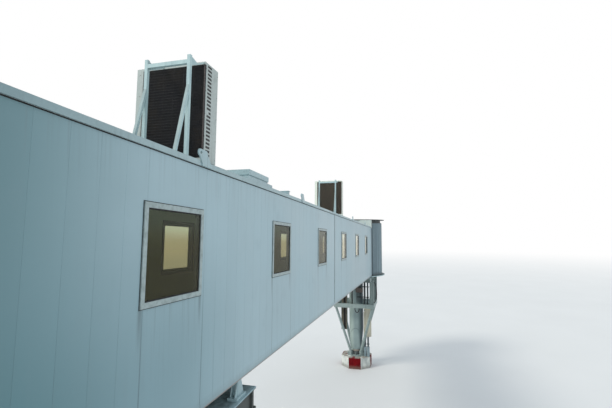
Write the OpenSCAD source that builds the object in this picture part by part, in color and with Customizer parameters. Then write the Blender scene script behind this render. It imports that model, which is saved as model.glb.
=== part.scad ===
// Fixed walkway of an airport jet bridge with its round swing chamber and two columns.
// Lengths are in millimetres. The origin lies on the ground under the chamber's column,
// +X runs from the terminal to the chamber and +Y is the walkway's left side.

/* [Walkway] */
// Pitch of the windows along the walkway
bay_pitch = 3600; // [3000:100:4200]
// Number of windows in each side wall
bay_count = 6; // [5:1:6]
// From the chamber end of the walkway to the first window's centre
chamber_margin = 2720; // [2400:10:3000]
// From the last window's centre to the terminal end
terminal_margin = 2680; // [2400:10:3600]
// Outer width over both side walls
walk_w = 2400; // [2200:50:2600]
// Height of a side wall
wall_h = 2920; // [2750:10:3100]
// Thickness of a side wall
wall_t = 70; // [50:5:100]
// Fall of the walkway towards the chamber in degrees
walk_slope = 1.83; // [0.5:0.1:3]
// Height of the side wall's foot above the ground at the chamber end
walk_foot_z = 5990; // [5600:10:6400]
// Height of the floor above the side wall's foot
floor_rise = 450; // [400:10:520]
// Thickness of the floor deck
deck_t = 70; // [50:5:90]
// Number of windows between the chamber and the joint of the two wall sections
joint_bay = 3; // [2:1:3]
// Shift of the section joint from the middle of its bay
joint_shift = 0; // [0:10:400]

/* [Roof] */
// Height of the fascia along each roof edge
fascia_h = 65; // [50:5:140]
// Thickness of the fascia sheet
fascia_t = 6; // [3:1:10]
// Open shadow gap between the side wall and the fascia
fascia_gap = 18; // [10:1:40]
// Distance that the fascia stands out from the side wall
fascia_out = 22; // [10:1:50]
// Width of the fascia's top leg
fascia_leg = 70; // [40:5:120]

/* [Windows] */
// Outer width of a window frame
window_w = 1100; // [800:10:1400]
// Outer height of a window frame
window_h = 1030; // [700:10:1200]
// From the top of the side wall to the top of a window frame
window_drop = 520; // [400:10:700]
// Width of the window frame's face
frame_face = 55; // [40:1:80]
// Distance that the window frame stands out from the side wall
frame_proud = 16; // [8:1:30]
// Thickness of the glass
glass_t = 12; // [6:1:20]

/* [Floor frame] */
// Depth of the two long floor channels
channel_h = 380; // [300:10:420]
// Flange width of the floor channels
channel_w = 100; // [70:5:140]
// Web and flange thickness of the floor channels
channel_t = 14; // [8:1:20]
// Depth of the floor joists
joist_h = 220; // [140:10:280]
// Flange width of the floor joists
joist_w = 110; // [80:5:160]
// Spacing of the floor joists
joist_pitch = 1200; // [900:50:1500]

/* [Roof coolers] */
// Width of a cooler across the walkway
cooler_w = 1030; // [900:10:1200]
// Depth of a cooler along the walkway
cooler_d = 340; // [300:10:450]
// Height of a cooler's casing
cooler_h = 1300; // [1000:10:1500]
// Height of the rails under a cooler
rail_h = 40; // [30:5:100]
// From the last window's centre back to the coil of the cooler near the terminal
cooler_a_back = 570; // [500:10:1500]
// From the third window's centre on to the coil of the other cooler
cooler_b_on = 230; // [100:10:900]
// From the walkway's centre line to the coolers' near side
cooler_y = 1150; // [1000:10:1180]
// Number of slots in a cooler's side louvre
louvre_count = 25; // [13:1:27]
// Radius of a cooler's fan openings
fan_r = 240; // [180:5:260]
// Distance from a cooler's coil to the posts of its guard frame
guard_gap = 310; // [250:10:500]
// Thickness of the guard frame's posts
guard_t = 42; // [30:1:70]
// Width of the guard frame over its posts
guard_w = 640; // [500:10:900]
// Height of the guard frame's top bar above the roof
guard_h = 1210; // [900:10:1250]
// Distance from the second cooler's coil to the posts of its guard frame
guard_gap_b = 600; // [450:10:700]
// Distance of the second cooler's guard frame from the casing's near side
guard_in_b = 90; // [0:10:300]
// Run of the guard frame's braces along the roof
guard_run = 220; // [150:10:400]

/* [Roof boxes] */
// Length of the low hood along the walkway
hood_l = 930; // [700:10:1300]
// Width of the low hood
hood_w = 440; // [300:10:600]
// Height of the low hood
hood_h = 270; // [150:10:350]
// From the last window's centre back to the low hood
hood_back = 2390; // [2200:10:3600]
// Height of the curb under the low hood
curb_h = 145; // [60:5:145]
// Width of the small box across the walkway
vent_w = 300; // [200:10:400]
// Length of the small box along the walkway
vent_l = 120; // [80:10:300]
// Height of the small box
vent_h = 180; // [120:10:300]
// From the low hood to the small box
vent_gap = 1280; // [400:10:1600]
// From the walkway's centre line to the near side of the hood and the box
box_y = 1000; // [900:10:1080]
// Height of the lifting lugs above the foot of the fascia
lug_h = 200; // [160:10:260]
// From the outermost window of a section to the middle between its lifting lugs
lug_in = 2790; // [2600:10:2900]
// Half the distance between the two lifting lugs of a section
lug_half = 2240; // [2000:10:2300]

/* [Swing chamber] */
// Radius of the chamber's roof and base plates
plate_r = 1870; // [1850:10:2000]
// Outer radius of the slatted curtain
curtain_r = 1710; // [1690:5:1740]
// Height of the underside of the chamber's base plate above the ground
base_z = 5870; // [5600:10:5900]
// Thickness of the chamber's base plate
base_t = 50; // [30:5:80]
// Height of the underside of the chamber's roof above the ground
head_z = 9410; // [9300:10:9700]
// Thickness of the chamber roof's edge
head_t = 45; // [30:5:80]
// Rise of the chamber roof towards its centre
head_crown = 35; // [0:5:60]
// Height of the open recess between the curtain and the chamber roof
head_recess = 190; // [100:10:260]
// Height of the recess between the curtain and the base plate
foot_recess = 30; // [20:5:60]
// Pitch of the curtain slats around the curtain
slat_pitch = 106; // [90:2:130]
// Thickness of a curtain slat's sheet
slat_t = 8; // [5:1:12]
// Outward bulge of a curtain slat
slat_bulge = 17; // [10:1:20]
// From the column's centre to the end of the walkway
walk_reach = 1780; // [1700:10:1840]
// From the column's centre to the face of the outlet frame
outlet_reach = 1640; // [1560:10:1800]
// Outer width of the outlet frame
outlet_w = 2500; // [2400:50:2560]
// Height of the outlet's mouth above the floor
mouth_h = 2350; // [2250:10:2500]

/* [Column] */
// Width of a plinth across its flats
plinth_w = 1860; // [1800:10:2400]
// Height of a plinth
plinth_h = 680; // [500:10:1000]
// Radius of the column's steel tube
tube_r = 450; // [400:10:520]
// Half width of the column's tapered foot
neck_r = 300; // [240:10:330]
// Height of the tapered foot's lower edge above the plinth
neck_h = 420; // [300:10:500]
// Slope of the tapered foot's four flats in degrees
taper = 6.5; // [5:0.5:11]
// Radius of the base flange
flange_r = 600; // [560:10:720]
// Thickness of the base flange
flange_t = 50; // [30:5:80]
// Radius of the base flange's bolt circle
bolt_circle_r = 540; // [500:5:580]
// Number of anchor bolts in a base flange
bolt_count = 12; // [8:4:16]
// Radius of an anchor bolt
bolt_r = 20; // [14:1:26]
// Height of the column frame's underside above the ground
frame_z = 3850; // [3700:10:4300]
// Depth of the column frame's beams
beam_h = 250; // [220:10:360]
// Width of the column frame's beams
beam_w = 200; // [150:10:260]
// Length of the column frame across the walkway
frame_w = 2540; // [2200:10:2600]
// Length of the column frame along the walkway
frame_l = 2300; // [2100:10:2400]
// Width of the posts between the column frame and the chamber
post_w = 260; // [200:10:320]
// Depth of the beams under the chamber's base plate
bearer_h = 280; // [200:10:320]
// Height of the brackets on the base flange that carry the braces
bracket_h = 280; // [150:10:300]
// Width of a brace
brace_w = 150; // [100:5:200]
// Thickness of a brace
brace_t = 100; // [60:5:140]

/* [Near pier] */
// Shift of the near pier from the middle between the last two windows
pier_shift = -120; // [-600:10:600]
// Length of the crosshead along the walkway
crosshead_l = 950; // [700:10:1200]
// Depth of the crosshead
crosshead_h = 340; // [250:10:450]
// Thickness of the crosshead's plates
plate_t = 30; // [15:1:40]
// Height of the bearings between the crosshead and the floor channels
bearing_h = 330; // [200:10:450]

/* [Pipes] */
// From the column's centre line to the open side of the cable duct
duct_x = 400; // [380:5:410]
// From the walkway's centre line to the cable duct's near side
duct_y = 540; // [530:5:580]
// From the walkway's centre line to the nearer upright pipe
pipe_y = 610; // [560:5:640]
// Gap between the base flange and the sleeves of the pipes
pipe_gap = 15; // [5:1:40]
// Radius of the pipes beside the column
pipe_r = 55; // [40:1:80]
// From the column frame's underside down to the cable duct's foot
duct_drop = 1540; // [1200:10:1800]
// Height of the wide sleeves at the foot of the upright pipes
sleeve_h = 610; // [400:10:900]
// Radius of the hanging cable
cable_r = 28; // [20:1:40]

/* [Hidden] */

// Smoothness of large and small round shapes
large_fn = 96;
small_fn = 32;
// Clearance of parts that fit into each other
fit = 2;
// Extra length of what a cut trims
over = 200;
// From the ends of an upright to its outermost bolt holes
hole_in = 150;

// Colours
wall_color = [0.60, 0.68, 0.72];
trim_color = [0.70, 0.74, 0.75];
steel_color = [0.55, 0.60, 0.62];
dark_color = [0.12, 0.12, 0.13];
curtain_color = [0.42, 0.50, 0.55];
coil_color = [0.07, 0.05, 0.045];

// Walkway lengths along its own slope, with 0 at the chamber end
walk_run = bay_pitch * (bay_count - 1) + chamber_margin + terminal_margin;
walk_x0 = -walk_reach - walk_run;
walk_l = walk_run / cos(walk_slope);
joint_x = -(chamber_margin + (joint_bay - 0.5) * bay_pitch + joint_shift);
last_window = chamber_margin + (bay_count - 1) * bay_pitch;
terminal_foot_z = walk_foot_z + walk_run * tan(walk_slope);
roof_t = fascia_gap + fascia_h - fascia_t;
roof_z = wall_h + roof_t;
inner_y = walk_w / 2 - wall_t;
deck_z = floor_rise - deck_t;
floor_z = walk_foot_z + floor_rise;

// Windows
window_top = wall_h - window_drop;
frame_lap = 30;
hole_w = window_w - 2 * frame_lap;
hole_h = window_h - 2 * frame_lap;
light_w = window_w - 2 * frame_face;
light_h = window_h - 2 * frame_face;
sleeve_t = 10;

// Roof equipment
cooler_a_x = last_window - cooler_a_back;
cooler_b_x = chamber_margin + 2 * bay_pitch + cooler_b_on;
coil_recess = 30;
casing_rim = 35;
casing_post = 95;
slot_margin = 25;
slot_in = 70;
slot_d = 103;
fan_depth = 120;
hub_r = 50;
hood_x = last_window - hood_back;
curb_out = 130;
vent_x = hood_x - hood_l - vent_gap;
lug_t = 16;
lug_mids = [chamber_margin + lug_in, last_window - lug_in];

// Swing chamber
curtain_top = head_z - head_recess;
curtain_foot = base_z + base_t + foot_recess;
entry_angle = asin(walk_w / 2 / curtain_r) + 1.4;
outlet_angle = asin(outlet_w / 2 / curtain_r) + 1.4;
curtain_span = 180 - entry_angle - outlet_angle;
slat_count = floor(curtain_span * PI / 180 * curtain_r / slat_pitch);
slat_step = curtain_span / slat_count;
track_t = 30;
track_r = curtain_r - slat_bulge - slat_t;
drum_t = 20;
drum_r = curtain_r - slat_bulge - 3 * track_t;
floor_plate_t = 50;

// Column
flange_z = plinth_h;
tube_foot_z = plinth_h + flange_t;
ring_out = 18;
bracket_r = neck_r * sqrt(2) + brace_t / 2;
frame_top = frame_z + beam_h;
end_bearing_x = walk_reach + 170;
bearer_reach = end_bearing_x + 200;
pier_reach = walk_reach + chamber_margin + (bay_count - 1.5) * bay_pitch + pier_shift;
crosshead_top = pier_foot_z() - bearing_h;

// Radius of the pipes' wide sleeves, and the plane across the walkway in which the pipes stand
sleeve_r = 90;
pipe_x = sqrt(pow(flange_r + sleeve_r + pipe_gap, 2) - pow(pipe_y, 2));

// Plane across the walkway in which the cables hang
cable_x = -frame_l / 2 + 50;
// Cable that bows out beside the chamber's near post: distance from the post and height along it
bow_foot = frame_top + 140;
bow_h = base_z - bearer_h - 100 - bow_foot;
bow = [[0, 1], [40, 1], [100, 0.93], [155, 0.72], [180, 0.43], [160, 0.25], [100, 0.08], [40, 0], [0, 0]];
// Cable that hangs below the column frame's front beam: distance from the middle and drop
loop = [[70, 0], [70, 90], [110, 220], [200, 290], [290, 220], [330, 90], [330, 0]];

// Height of the side wall's foot above the near pier
function pier_foot_z() = walk_foot_z + (pier_reach - walk_reach) * tan(walk_slope);

// Places its children in the walkway's own frame
module on_walkway() {
    translate([-walk_reach, 0, walk_foot_z]) rotate([0, walk_slope, 0]) children();
}

// Cuts its children plumb at both ends of the walkway
module plumb_ends() {
    intersection() {
        children();
        translate([walk_x0, -walk_w, 0]) cube([walk_run, 2 * walk_w, head_z * 2]);
    }
}

// Keeps its children and adds their mirror image on the other side of the walkway
module both_sides() {
    children();
    mirror([0, 1, 0]) children();
}

// A profile drawn with its first axis across and its second axis up, run along the walkway
module run_along(x0, x1) {
    translate([x0, 0, 0]) rotate([90, 0, 90]) linear_extrude(x1 - x0) children();
}

// Centre of a window measured from the chamber end, with window 0 next to the chamber
function window_x(i) = -(chamber_margin + i * bay_pitch);

// Rectangle with its lower left corner moved by half its width
module centred_rect(w, h, z) {
    translate([-w / 2, z]) square([w, h]);
}

// A straight bar of a rectangular section between two points
module bar(p, q, w, t) {
    d = q - p;
    run = sqrt(d[0] * d[0] + d[1] * d[1]);
    translate(p) rotate([0, atan2(run, d[2]), atan2(d[1], d[0])])
        translate([-t / 2, -w / 2, 0]) cube([t, w, norm(d)]);
}

// A straight round pipe between two points
module pipe(p, q, r) {
    d = q - p;
    run = sqrt(d[0] * d[0] + d[1] * d[1]);
    translate(p) rotate([0, atan2(run, d[2]), atan2(d[1], d[0])])
        cylinder(h = norm(d), r = r, $fn = small_fn);
}

// One side wall between two places on the walkway, with its windows cut through
module wall_section(x0, x1) {
    plumb_ends() on_walkway() difference() {
        translate([x0, inner_y, 0]) cube([x1 - x0, wall_t, wall_h]);
        for (i = [0:bay_count - 1])
            if (window_x(i) - hole_w / 2 > x0 && window_x(i) + hole_w / 2 < x1)
                translate([window_x(i) - hole_w / 2, inner_y - over, window_top - window_h + frame_lap])
                    cube([hole_w, wall_t + 2 * over, hole_h]);
    }
}

module wall_left_a() {
    color(wall_color) wall_section(-walk_l - over, joint_x);
}

module wall_left_b() {
    color(wall_color) wall_section(joint_x, over);
}

module wall_right_a() {
    color(wall_color) mirror([0, 1, 0]) wall_section(-walk_l - over, joint_x);
}

module wall_right_b() {
    color(wall_color) mirror([0, 1, 0]) wall_section(joint_x, over);
}

module floor_deck() {
    color("dimgray") plumb_ends() on_walkway() translate([-walk_l - over, -inner_y, deck_z])
        cube([walk_l + 2 * over, 2 * inner_y, deck_t]);
}

// Long channel whose web faces the middle of the walkway
module channel_profile() {
    difference() {
        translate([inner_y - channel_w, deck_z - channel_h]) square([channel_w, channel_h]);
        translate([inner_y - channel_w + channel_t, deck_z - channel_h + channel_t])
            square([channel_w, channel_h - 2 * channel_t]);
    }
}

module floor_channels() {
    color(steel_color) plumb_ends() on_walkway() both_sides()
        run_along(-walk_l - over, over) channel_profile();
}

// Profile of a rolled beam, centred across and standing on its lower flange
module beam_profile(w, h, t) {
    centred_rect(w, t, 0);
    centred_rect(w, t, h - t);
    centred_rect(t, h, 0);
}

module floor_joists() {
    joist_y = inner_y - channel_w;
    count = floor((walk_l - joist_w - 2 * channel_w) / joist_pitch);
    color(steel_color) on_walkway() for (i = [0:count])
        translate([-channel_w - joist_w / 2 - i * joist_pitch, joist_y, deck_z - joist_h])
            rotate([90, 0, 0]) linear_extrude(2 * joist_y) beam_profile(joist_w, joist_h, channel_t);
}

// Roof slab with a recess above the side walls that leaves the shadow gap
module roof_profile() {
    centred_rect(walk_w - 2 * fascia_gap, fascia_gap, wall_h);
    centred_rect(walk_w + 2 * (fascia_out - fascia_t), roof_t - fascia_gap, wall_h + fascia_gap);
}

module roof_a() {
    color(trim_color) plumb_ends() on_walkway() run_along(-walk_l - over, joint_x) roof_profile();
}

module roof_b() {
    color(trim_color) plumb_ends() on_walkway() run_along(joint_x, over) roof_profile();
}

// Fascia sheet with a top leg that lies on the roof and a drip lip at its foot
module fascia_profile() {
    fascia_y = walk_w / 2 + fascia_out;
    fascia_z = wall_h + fascia_gap;
    polygon([
        [fascia_y, fascia_z],
        [fascia_y, fascia_z + fascia_h],
        [fascia_y - fascia_leg, fascia_z + fascia_h],
        [fascia_y - fascia_leg, fascia_z + fascia_h - fascia_t],
        [fascia_y - fascia_t, fascia_z + fascia_h - fascia_t],
        [fascia_y - fascia_t, fascia_z]
    ]);
}

module roof_fascias() {
    color(trim_color) plumb_ends() on_walkway() both_sides()
        run_along(-walk_l - over, over) fascia_profile();
}

module foot_trims() {
    trim_h = 55;
    trim_t = 8;
    color(trim_color) plumb_ends() on_walkway() both_sides() run_along(-walk_l - over, over) {
        translate([walk_w / 2, -trim_t]) square([trim_t, trim_h + trim_t]);
        translate([walk_w / 2 - wall_t, -trim_t]) square([wall_t, trim_t]);
    }
}

// Window frame: a face ring on the wall, and a sleeve that lines the cut through it
module window_frame() {
    difference() {
        union() {
            translate([-window_w / 2, walk_w / 2, 0]) cube([window_w, frame_proud, window_h]);
            translate([-hole_w / 2 + fit, inner_y, frame_lap + fit])
                cube([hole_w - 2 * fit, wall_t, hole_h - 2 * fit]);
        }
        translate([-light_w / 2, inner_y - over, frame_face])
            cube([light_w, wall_t + 2 * over, light_h]);
        translate([-hole_w / 2 + sleeve_t, inner_y - over, frame_lap + sleeve_t])
            cube([hole_w - 2 * sleeve_t, wall_t + over, hole_h - 2 * sleeve_t]);
    }
}

module window_frames() {
    color("silver") on_walkway() both_sides() for (i = [0:bay_count - 1])
        translate([window_x(i), 0, window_top - window_h]) window_frame();
}

module window_glass() {
    pane_w = hole_w - 2 * (sleeve_t + fit);
    pane_h = hole_h - 2 * (sleeve_t + fit);
    color([0.25, 0.32, 0.30, 0.6]) on_walkway() both_sides() for (i = [0:bay_count - 1])
        translate([window_x(i) - pane_w / 2, walk_w / 2 - glass_t, window_top - (window_h + pane_h) / 2])
            cube([pane_w, glass_t, pane_h]);
}

// Plumb ring that closes the wall ends and is bolted to the terminal
module terminal_frame() {
    ring_t = 60;
    ring_lap = 60;
    hole_y = terminal_hole_y();
    ring_w = walk_w + 2 * ring_lap;
    foot = terminal_foot_z - ring_lap;
    top = terminal_foot_z + roof_z + ring_lap;
    color(steel_color) difference() {
        translate([walk_x0 - ring_t, -ring_w / 2, foot]) cube([ring_t, ring_w, top - foot]);
        translate([walk_x0 - ring_t - over, -inner_y, terminal_foot_z + floor_rise])
            cube([ring_t + 2 * over, 2 * inner_y, wall_h - floor_rise]);
        for (y = [-hole_y, hole_y], z = terminal_hole_z())
            translate([walk_x0 - ring_t - over, y, z]) rotate([0, 90, 0])
                cylinder(h = ring_t + 2 * over, r = bolt_r, $fn = small_fn);
    }
}

// Places of the terminal frame's four corner holes, outside the walkway's own section
function terminal_hole_y() = walk_w / 2 + 28;
function terminal_hole_z() = [terminal_foot_z + hole_in, terminal_foot_z + roof_z - hole_in];

// Cover strips over the joint of the two wall sections
module section_joint() {
    strip_w = 110;
    strip_t = 5;
    strip_foot = 60;
    color(trim_color) on_walkway() translate([joint_x - strip_w / 2, 0, 0]) {
        both_sides() translate([0, walk_w / 2, strip_foot]) cube([strip_w, strip_t, wall_h - strip_foot]);
        translate([0, fascia_leg - walk_w / 2 - fascia_out, roof_z])
            cube([strip_w, walk_w + 2 * (fascia_out - fascia_leg), strip_t]);
    }
}

// Places its children on the roof, with x counted from the chamber end towards the terminal
module on_roof(x, y) {
    on_walkway() translate([-x, y, roof_z]) children();
}

// Cooler casing with a recess for the coil, a louvre of slots in its side and two fan openings.
// Every twelfth slot stops half way, where a stiffener stands behind the louvre.
module cooler_casing() {
    slot_share = 0.45;
    slot_pitch = (cooler_h - 2 * slot_margin) / (louvre_count - 1 + slot_share);
    slot_t = slot_pitch * slot_share;
    slot_deep = 25;
    half_slot = 12;
    rail_w = 50;
    rail_in = 95;
    translate([0, 0, rail_h]) difference() {
        cube([cooler_d, cooler_w, cooler_h]);
        translate([-over, -over, casing_rim])
            cube([over + coil_recess, over + cooler_w - casing_post, cooler_h - 2 * casing_rim]);
        for (i = [0:louvre_count - 1]) {
            cut = i > 0 && i % half_slot == 0 ? slot_d / 2 : 0;
            translate([slot_in + cut, -over, cooler_h - slot_margin - slot_t - i * slot_pitch])
                cube([slot_d - cut, over + slot_deep, slot_t]);
        }
        for (k = [0, 1])
            translate([cooler_d - fan_depth, cooler_w / 2, fan_z(k)]) rotate([0, 90, 0])
                cylinder(h = over + fan_depth, r = fan_r, $fn = large_fn);
    }
    for (y = [rail_in, cooler_w - rail_in - rail_w])
        translate([casing_rim, y, 0]) cube([cooler_d - 2 * casing_rim, rail_w, rail_h]);
}

// Height of a fan's centre above the casing's underside
function fan_z(k) = cooler_h * (0.27 + 0.46 * k);

// Coil block that fills the casing's recess
module cooler_coil() {
    coil_y = cooler_w - casing_post - fit;
    seam = 8;
    translate([0, 0, rail_h + casing_rim + fit]) difference() {
        translate([fit, fit, 0]) cube([coil_recess - fit, coil_y - fit, cooler_h - 2 * (casing_rim + fit)]);
        for (k = [1:4]) translate([-over, -over, k * (cooler_h - 2 * casing_rim) / 5 - seam / 2])
            cube([over + seam, over + coil_y, seam]);
    }
}

// Fan hub with blades and a ring grille in each fan opening
module cooler_fans() {
    ring_t = 8;
    ring_step = (fan_r - hub_r) / 3;
    blade_w = 110;
    blade_in = hub_r - 5;
    blade_tilt = 28;
    translate([cooler_d - fan_depth, cooler_w / 2, rail_h]) for (k = [0, 1]) translate([0, 0, fan_z(k)])
        rotate([0, 90, 0]) {
            cylinder(h = fan_depth, r = hub_r, $fn = small_fn);
            for (a = [0:120:240]) rotate([0, 0, a]) translate([blade_in, -blade_w / 2, fan_depth / 4])
                rotate([blade_tilt, 0, 0]) cube([fan_r - blade_in - 25, blade_w, 6]);
            for (r = [1:3]) translate([0, 0, fan_depth - ring_t]) linear_extrude(ring_t) difference() {
                circle(r = hub_r + r * ring_step - fit, $fn = large_fn);
                circle(r = hub_r + r * ring_step - fit - ring_t, $fn = large_fn);
            }
            for (a = [0:60:300]) rotate([0, 0, a + 30]) translate([blade_in, -ring_t / 2, fan_depth - ring_t])
                cube([fan_r - blade_in - 2 * fit, ring_t, ring_t]);
        }
}

// Guard frame in front of a coil: two posts, a top bar, inclined braces and ties to the casing
module cooler_guard(gap, side) {
    post_y = [guard_t / 2, guard_w - guard_t / 2];
    joint_h = guard_h * 0.75;
    bar_h = 50;
    stub_h = 60;
    tie_t = 14;
    tie_h = cooler_h + rail_h - casing_rim + 10;
    translate([-gap, side, 0]) {
        for (y = post_y) {
            translate([-guard_t, y - guard_t / 2, 0]) cube([guard_t, guard_t, guard_h + stub_h]);
            intersection() {
                bar([-guard_run - guard_t, y, -20], [-guard_t / 2, y, joint_h], guard_t * 0.9, guard_t * 0.8);
                translate([-guard_run - 2 * guard_t, y - guard_t, 0])
                    cube([guard_run + 2 * guard_t, 2 * guard_t, joint_h]);
            }
            translate([-guard_run - 2 * guard_t, y - guard_t / 2, 0]) cube([2 * guard_t, 1.5 * guard_t, 8]);
            rotate([90, 0, 0]) translate([0, 0, -y - tie_t / 2]) linear_extrude(tie_t) polygon([
                [-1, guard_h - stub_h], [-1, guard_h + stub_h], [gap / 2, guard_h + stub_h / 2],
                [gap, tie_h + tie_t], [gap, tie_h], [gap / 2, guard_h + stub_h / 4]
            ]);
        }
        translate([-guard_t, 0, guard_h - bar_h]) cube([guard_t, guard_w, bar_h]);
    }
}

module cooler_a_casing() {
    color(trim_color) on_roof(cooler_a_x, -cooler_y) cooler_casing();
}

module cooler_a_coil() {
    color(coil_color) on_roof(cooler_a_x, -cooler_y) cooler_coil();
}

module cooler_a_fans() {
    color(dark_color) on_roof(cooler_a_x, -cooler_y) cooler_fans();
}

module cooler_a_guard() {
    color(trim_color) on_roof(cooler_a_x, -cooler_y) cooler_guard(guard_gap, 0);
}

module cooler_b_casing() {
    color(trim_color) on_roof(cooler_b_x, -cooler_y) cooler_casing();
}

module cooler_b_coil() {
    color(coil_color) on_roof(cooler_b_x, -cooler_y) cooler_coil();
}

module cooler_b_fans() {
    color(dark_color) on_roof(cooler_b_x, -cooler_y) cooler_fans();
}

module cooler_b_guard() {
    color(trim_color) on_roof(cooler_b_x, -cooler_y) cooler_guard(guard_gap_b, guard_in_b);
}

// A low hood whose deep lid laps over its sides, on a longer curb, and a small box behind it
module roof_boxes() {
    lid_h = 95;
    lid_lap = 16;
    curb_lap = 30;
    color(trim_color) {
        on_roof(hood_x, -box_y) {
            translate([lid_lap, lid_lap, 0])
                cube([hood_l - 2 * lid_lap, hood_w - 2 * lid_lap, hood_h - lid_h]);
            translate([0, 0, hood_h - lid_h]) cube([hood_l, hood_w, lid_h]);
            translate([-curb_out, -curb_lap, 0])
                cube([hood_l + 2 * curb_out, hood_w + 2 * curb_lap, curb_h - lid_lap]);
            translate([-curb_out / 2, 0, 0]) cube([hood_l + curb_out, hood_w, curb_h]);
        }
        on_roof(vent_x, -box_y) {
            translate([lid_lap / 2, lid_lap, 0])
                cube([vent_l - lid_lap, vent_w - 2 * lid_lap, vent_h - lid_lap]);
            translate([0, 0, vent_h - lid_lap]) cube([vent_l, vent_w, lid_lap]);
        }
    }
}

// A lug plate that leans towards the terminal, with a round eye near its rounded tip
module lug() {
    lug_r = 45;
    lean = 100;
    foot_l = 220;
    foot_h = 30;
    eye_r = 22;
    tip_z = lug_h - lug_r;
    tip_x = foot_l / 2 - lug_r;
    rotate([90, 0, 0]) linear_extrude(lug_t) difference() {
        union() {
            polygon([
                [-foot_l / 2, 0], [foot_l / 2, 0], [foot_l / 2, foot_h],
                [foot_l / 2 - lean, tip_z], [-foot_l / 2 - lean, tip_z], [-foot_l / 2, foot_h]
            ]);
            translate([-tip_x - lean, tip_z]) square([2 * tip_x, lug_r]);
            for (s = [-1, 1]) translate([s * tip_x - lean, tip_z]) circle(r = lug_r, $fn = small_fn);
        }
        translate([-lean - lug_r, tip_z]) circle(r = eye_r, $fn = small_fn);
    }
}

// The lugs stand against the outer faces of the fascias
module lifting_lugs() {
    lug_y = walk_w / 2 + fascia_out + lug_t;
    color(trim_color) on_walkway() both_sides() for (mid = lug_mids, s = [-1, 1])
        translate([-mid - s * lug_half, lug_y, wall_h + fascia_gap]) lug();
}

// Portal between the walkway's end and the swing chamber, with a plain panel above the roof
module entry_frame() {
    inner_reach = track_r * cos(entry_angle) + 5 * fit;
    depth = walk_reach - inner_reach;
    door_top = walk_foot_z + wall_h;
    color(trim_color) difference() {
        translate([-walk_reach, -walk_w / 2, walk_foot_z]) cube([depth, walk_w, head_z - walk_foot_z]);
        translate([-walk_reach - over, -inner_y, floor_z])
            cube([depth + 2 * over, 2 * inner_y, door_top - floor_z]);
        translate([-walk_reach + wall_t, -inner_y, door_top + wall_t])
            cube([depth, 2 * inner_y, head_z - door_top]);
        translate([-walk_reach + wall_t, -inner_y, walk_foot_z - over])
            cube([depth, 2 * inner_y, over + floor_rise - deck_t]);
        translate([0, 0, base_z])
            cylinder(h = floor_z - base_z + fit, r = drum_r + drum_t + fit, $fn = large_fn);
        translate([0, 0, curtain_top]) cylinder(h = head_z, r = drum_r + 2 * drum_t, $fn = large_fn);
    }
}

// Portal for the next tunnel, with a bolting flange around its mouth
module outlet_frame() {
    inner_reach = track_r * cos(outlet_angle) + 5 * fit;
    depth = outlet_reach - inner_reach;
    foot = base_z + base_t;
    mouth_y = outlet_w / 2 - wall_t;
    mouth_top = floor_z + mouth_h;
    color(trim_color) difference() {
        translate([inner_reach, -outlet_w / 2, foot]) cube([depth, outlet_w, head_z - foot]);
        translate([inner_reach - over, -mouth_y, floor_z])
            cube([depth + 2 * over, 2 * mouth_y, mouth_top - floor_z]);
        translate([inner_reach - over, -mouth_y, mouth_top + wall_t])
            cube([depth + over - wall_t, 2 * mouth_y, head_z - mouth_top]);
        translate([inner_reach - over, -mouth_y, foot - over])
            cube([depth + over - wall_t, 2 * mouth_y, over + floor_z - deck_t - foot]);
        translate([0, 0, base_z])
            cylinder(h = floor_z - base_z + fit, r = drum_r + drum_t + fit, $fn = large_fn);
        translate([0, 0, curtain_top]) cylinder(h = head_z, r = drum_r + 2 * drum_t, $fn = large_fn);
        for (y = [-outlet_hole_y(), outlet_hole_y()], z = outlet_hole_z())
            translate([outlet_reach - 3 * wall_t, y, z]) rotate([0, 90, 0])
                cylinder(h = over * 2, r = bolt_r, $fn = small_fn);
    }
}

function outlet_hole_y() = outlet_w / 2 - wall_t / 2;
function outlet_hole_z() = [floor_z + hole_in, floor_z + mouth_h - hole_in];

// Floor plate on a drum, open below
module chamber_floor() {
    plate_z = floor_z - floor_plate_t;
    color("dimgray") rotate_extrude($fn = large_fn) {
        translate([0, plate_z]) square([drum_r + drum_t, floor_plate_t]);
        translate([drum_r - drum_t, base_z + base_t]) square([drum_t, plate_z - base_z - base_t]);
    }
}

module chamber_base() {
    color(trim_color) translate([0, 0, base_z]) cylinder(h = base_t, r = plate_r, $fn = large_fn);
}

// Round roof with a slight crown and a ring below it that carries the curtain's track
module chamber_roof() {
    color(trim_color) rotate_extrude($fn = large_fn) {
        polygon([
            [0, head_z], [plate_r, head_z], [plate_r, head_z + head_t], [0, head_z + head_t + head_crown]
        ]);
        translate([drum_r, curtain_top]) square([drum_t, head_recess]);
    }
}

// Upper and lower track of the curtain on each side
module curtain_tracks() {
    color(steel_color) both_sides() rotate([0, 0, outlet_angle])
        rotate_extrude(angle = curtain_span, $fn = large_fn) {
            translate([drum_r + drum_t, curtain_top]) square([track_r - drum_r - drum_t, track_t]);
            translate([drum_r + drum_t, curtain_foot - foot_recess])
                square([track_r - drum_r - drum_t, foot_recess]);
        }
}

// Section of one slat: a curved sheet with a rolled bead along one edge
module slat_profile(w) {
    arc_r = (w * w / 4 + slat_bulge * slat_bulge) / (2 * slat_bulge);
    half = asin(w / 2 / arc_r);
    steps = 6;
    mid = [curtain_r - arc_r, 0];
    outer = [for (i = [0:steps]) let (a = half * (2 * i / steps - 1))
        mid + arc_r * [cos(a), sin(a)]];
    inner = [for (i = [steps:-1:0]) let (a = half * (2 * i / steps - 1))
        mid + (arc_r - slat_t) * [cos(a), sin(a)]];
    polygon(concat(outer, inner));
    translate([curtain_r - slat_bulge - slat_t, -w / 2 + slat_t]) circle(r = slat_t, $fn = 8);
}

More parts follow.
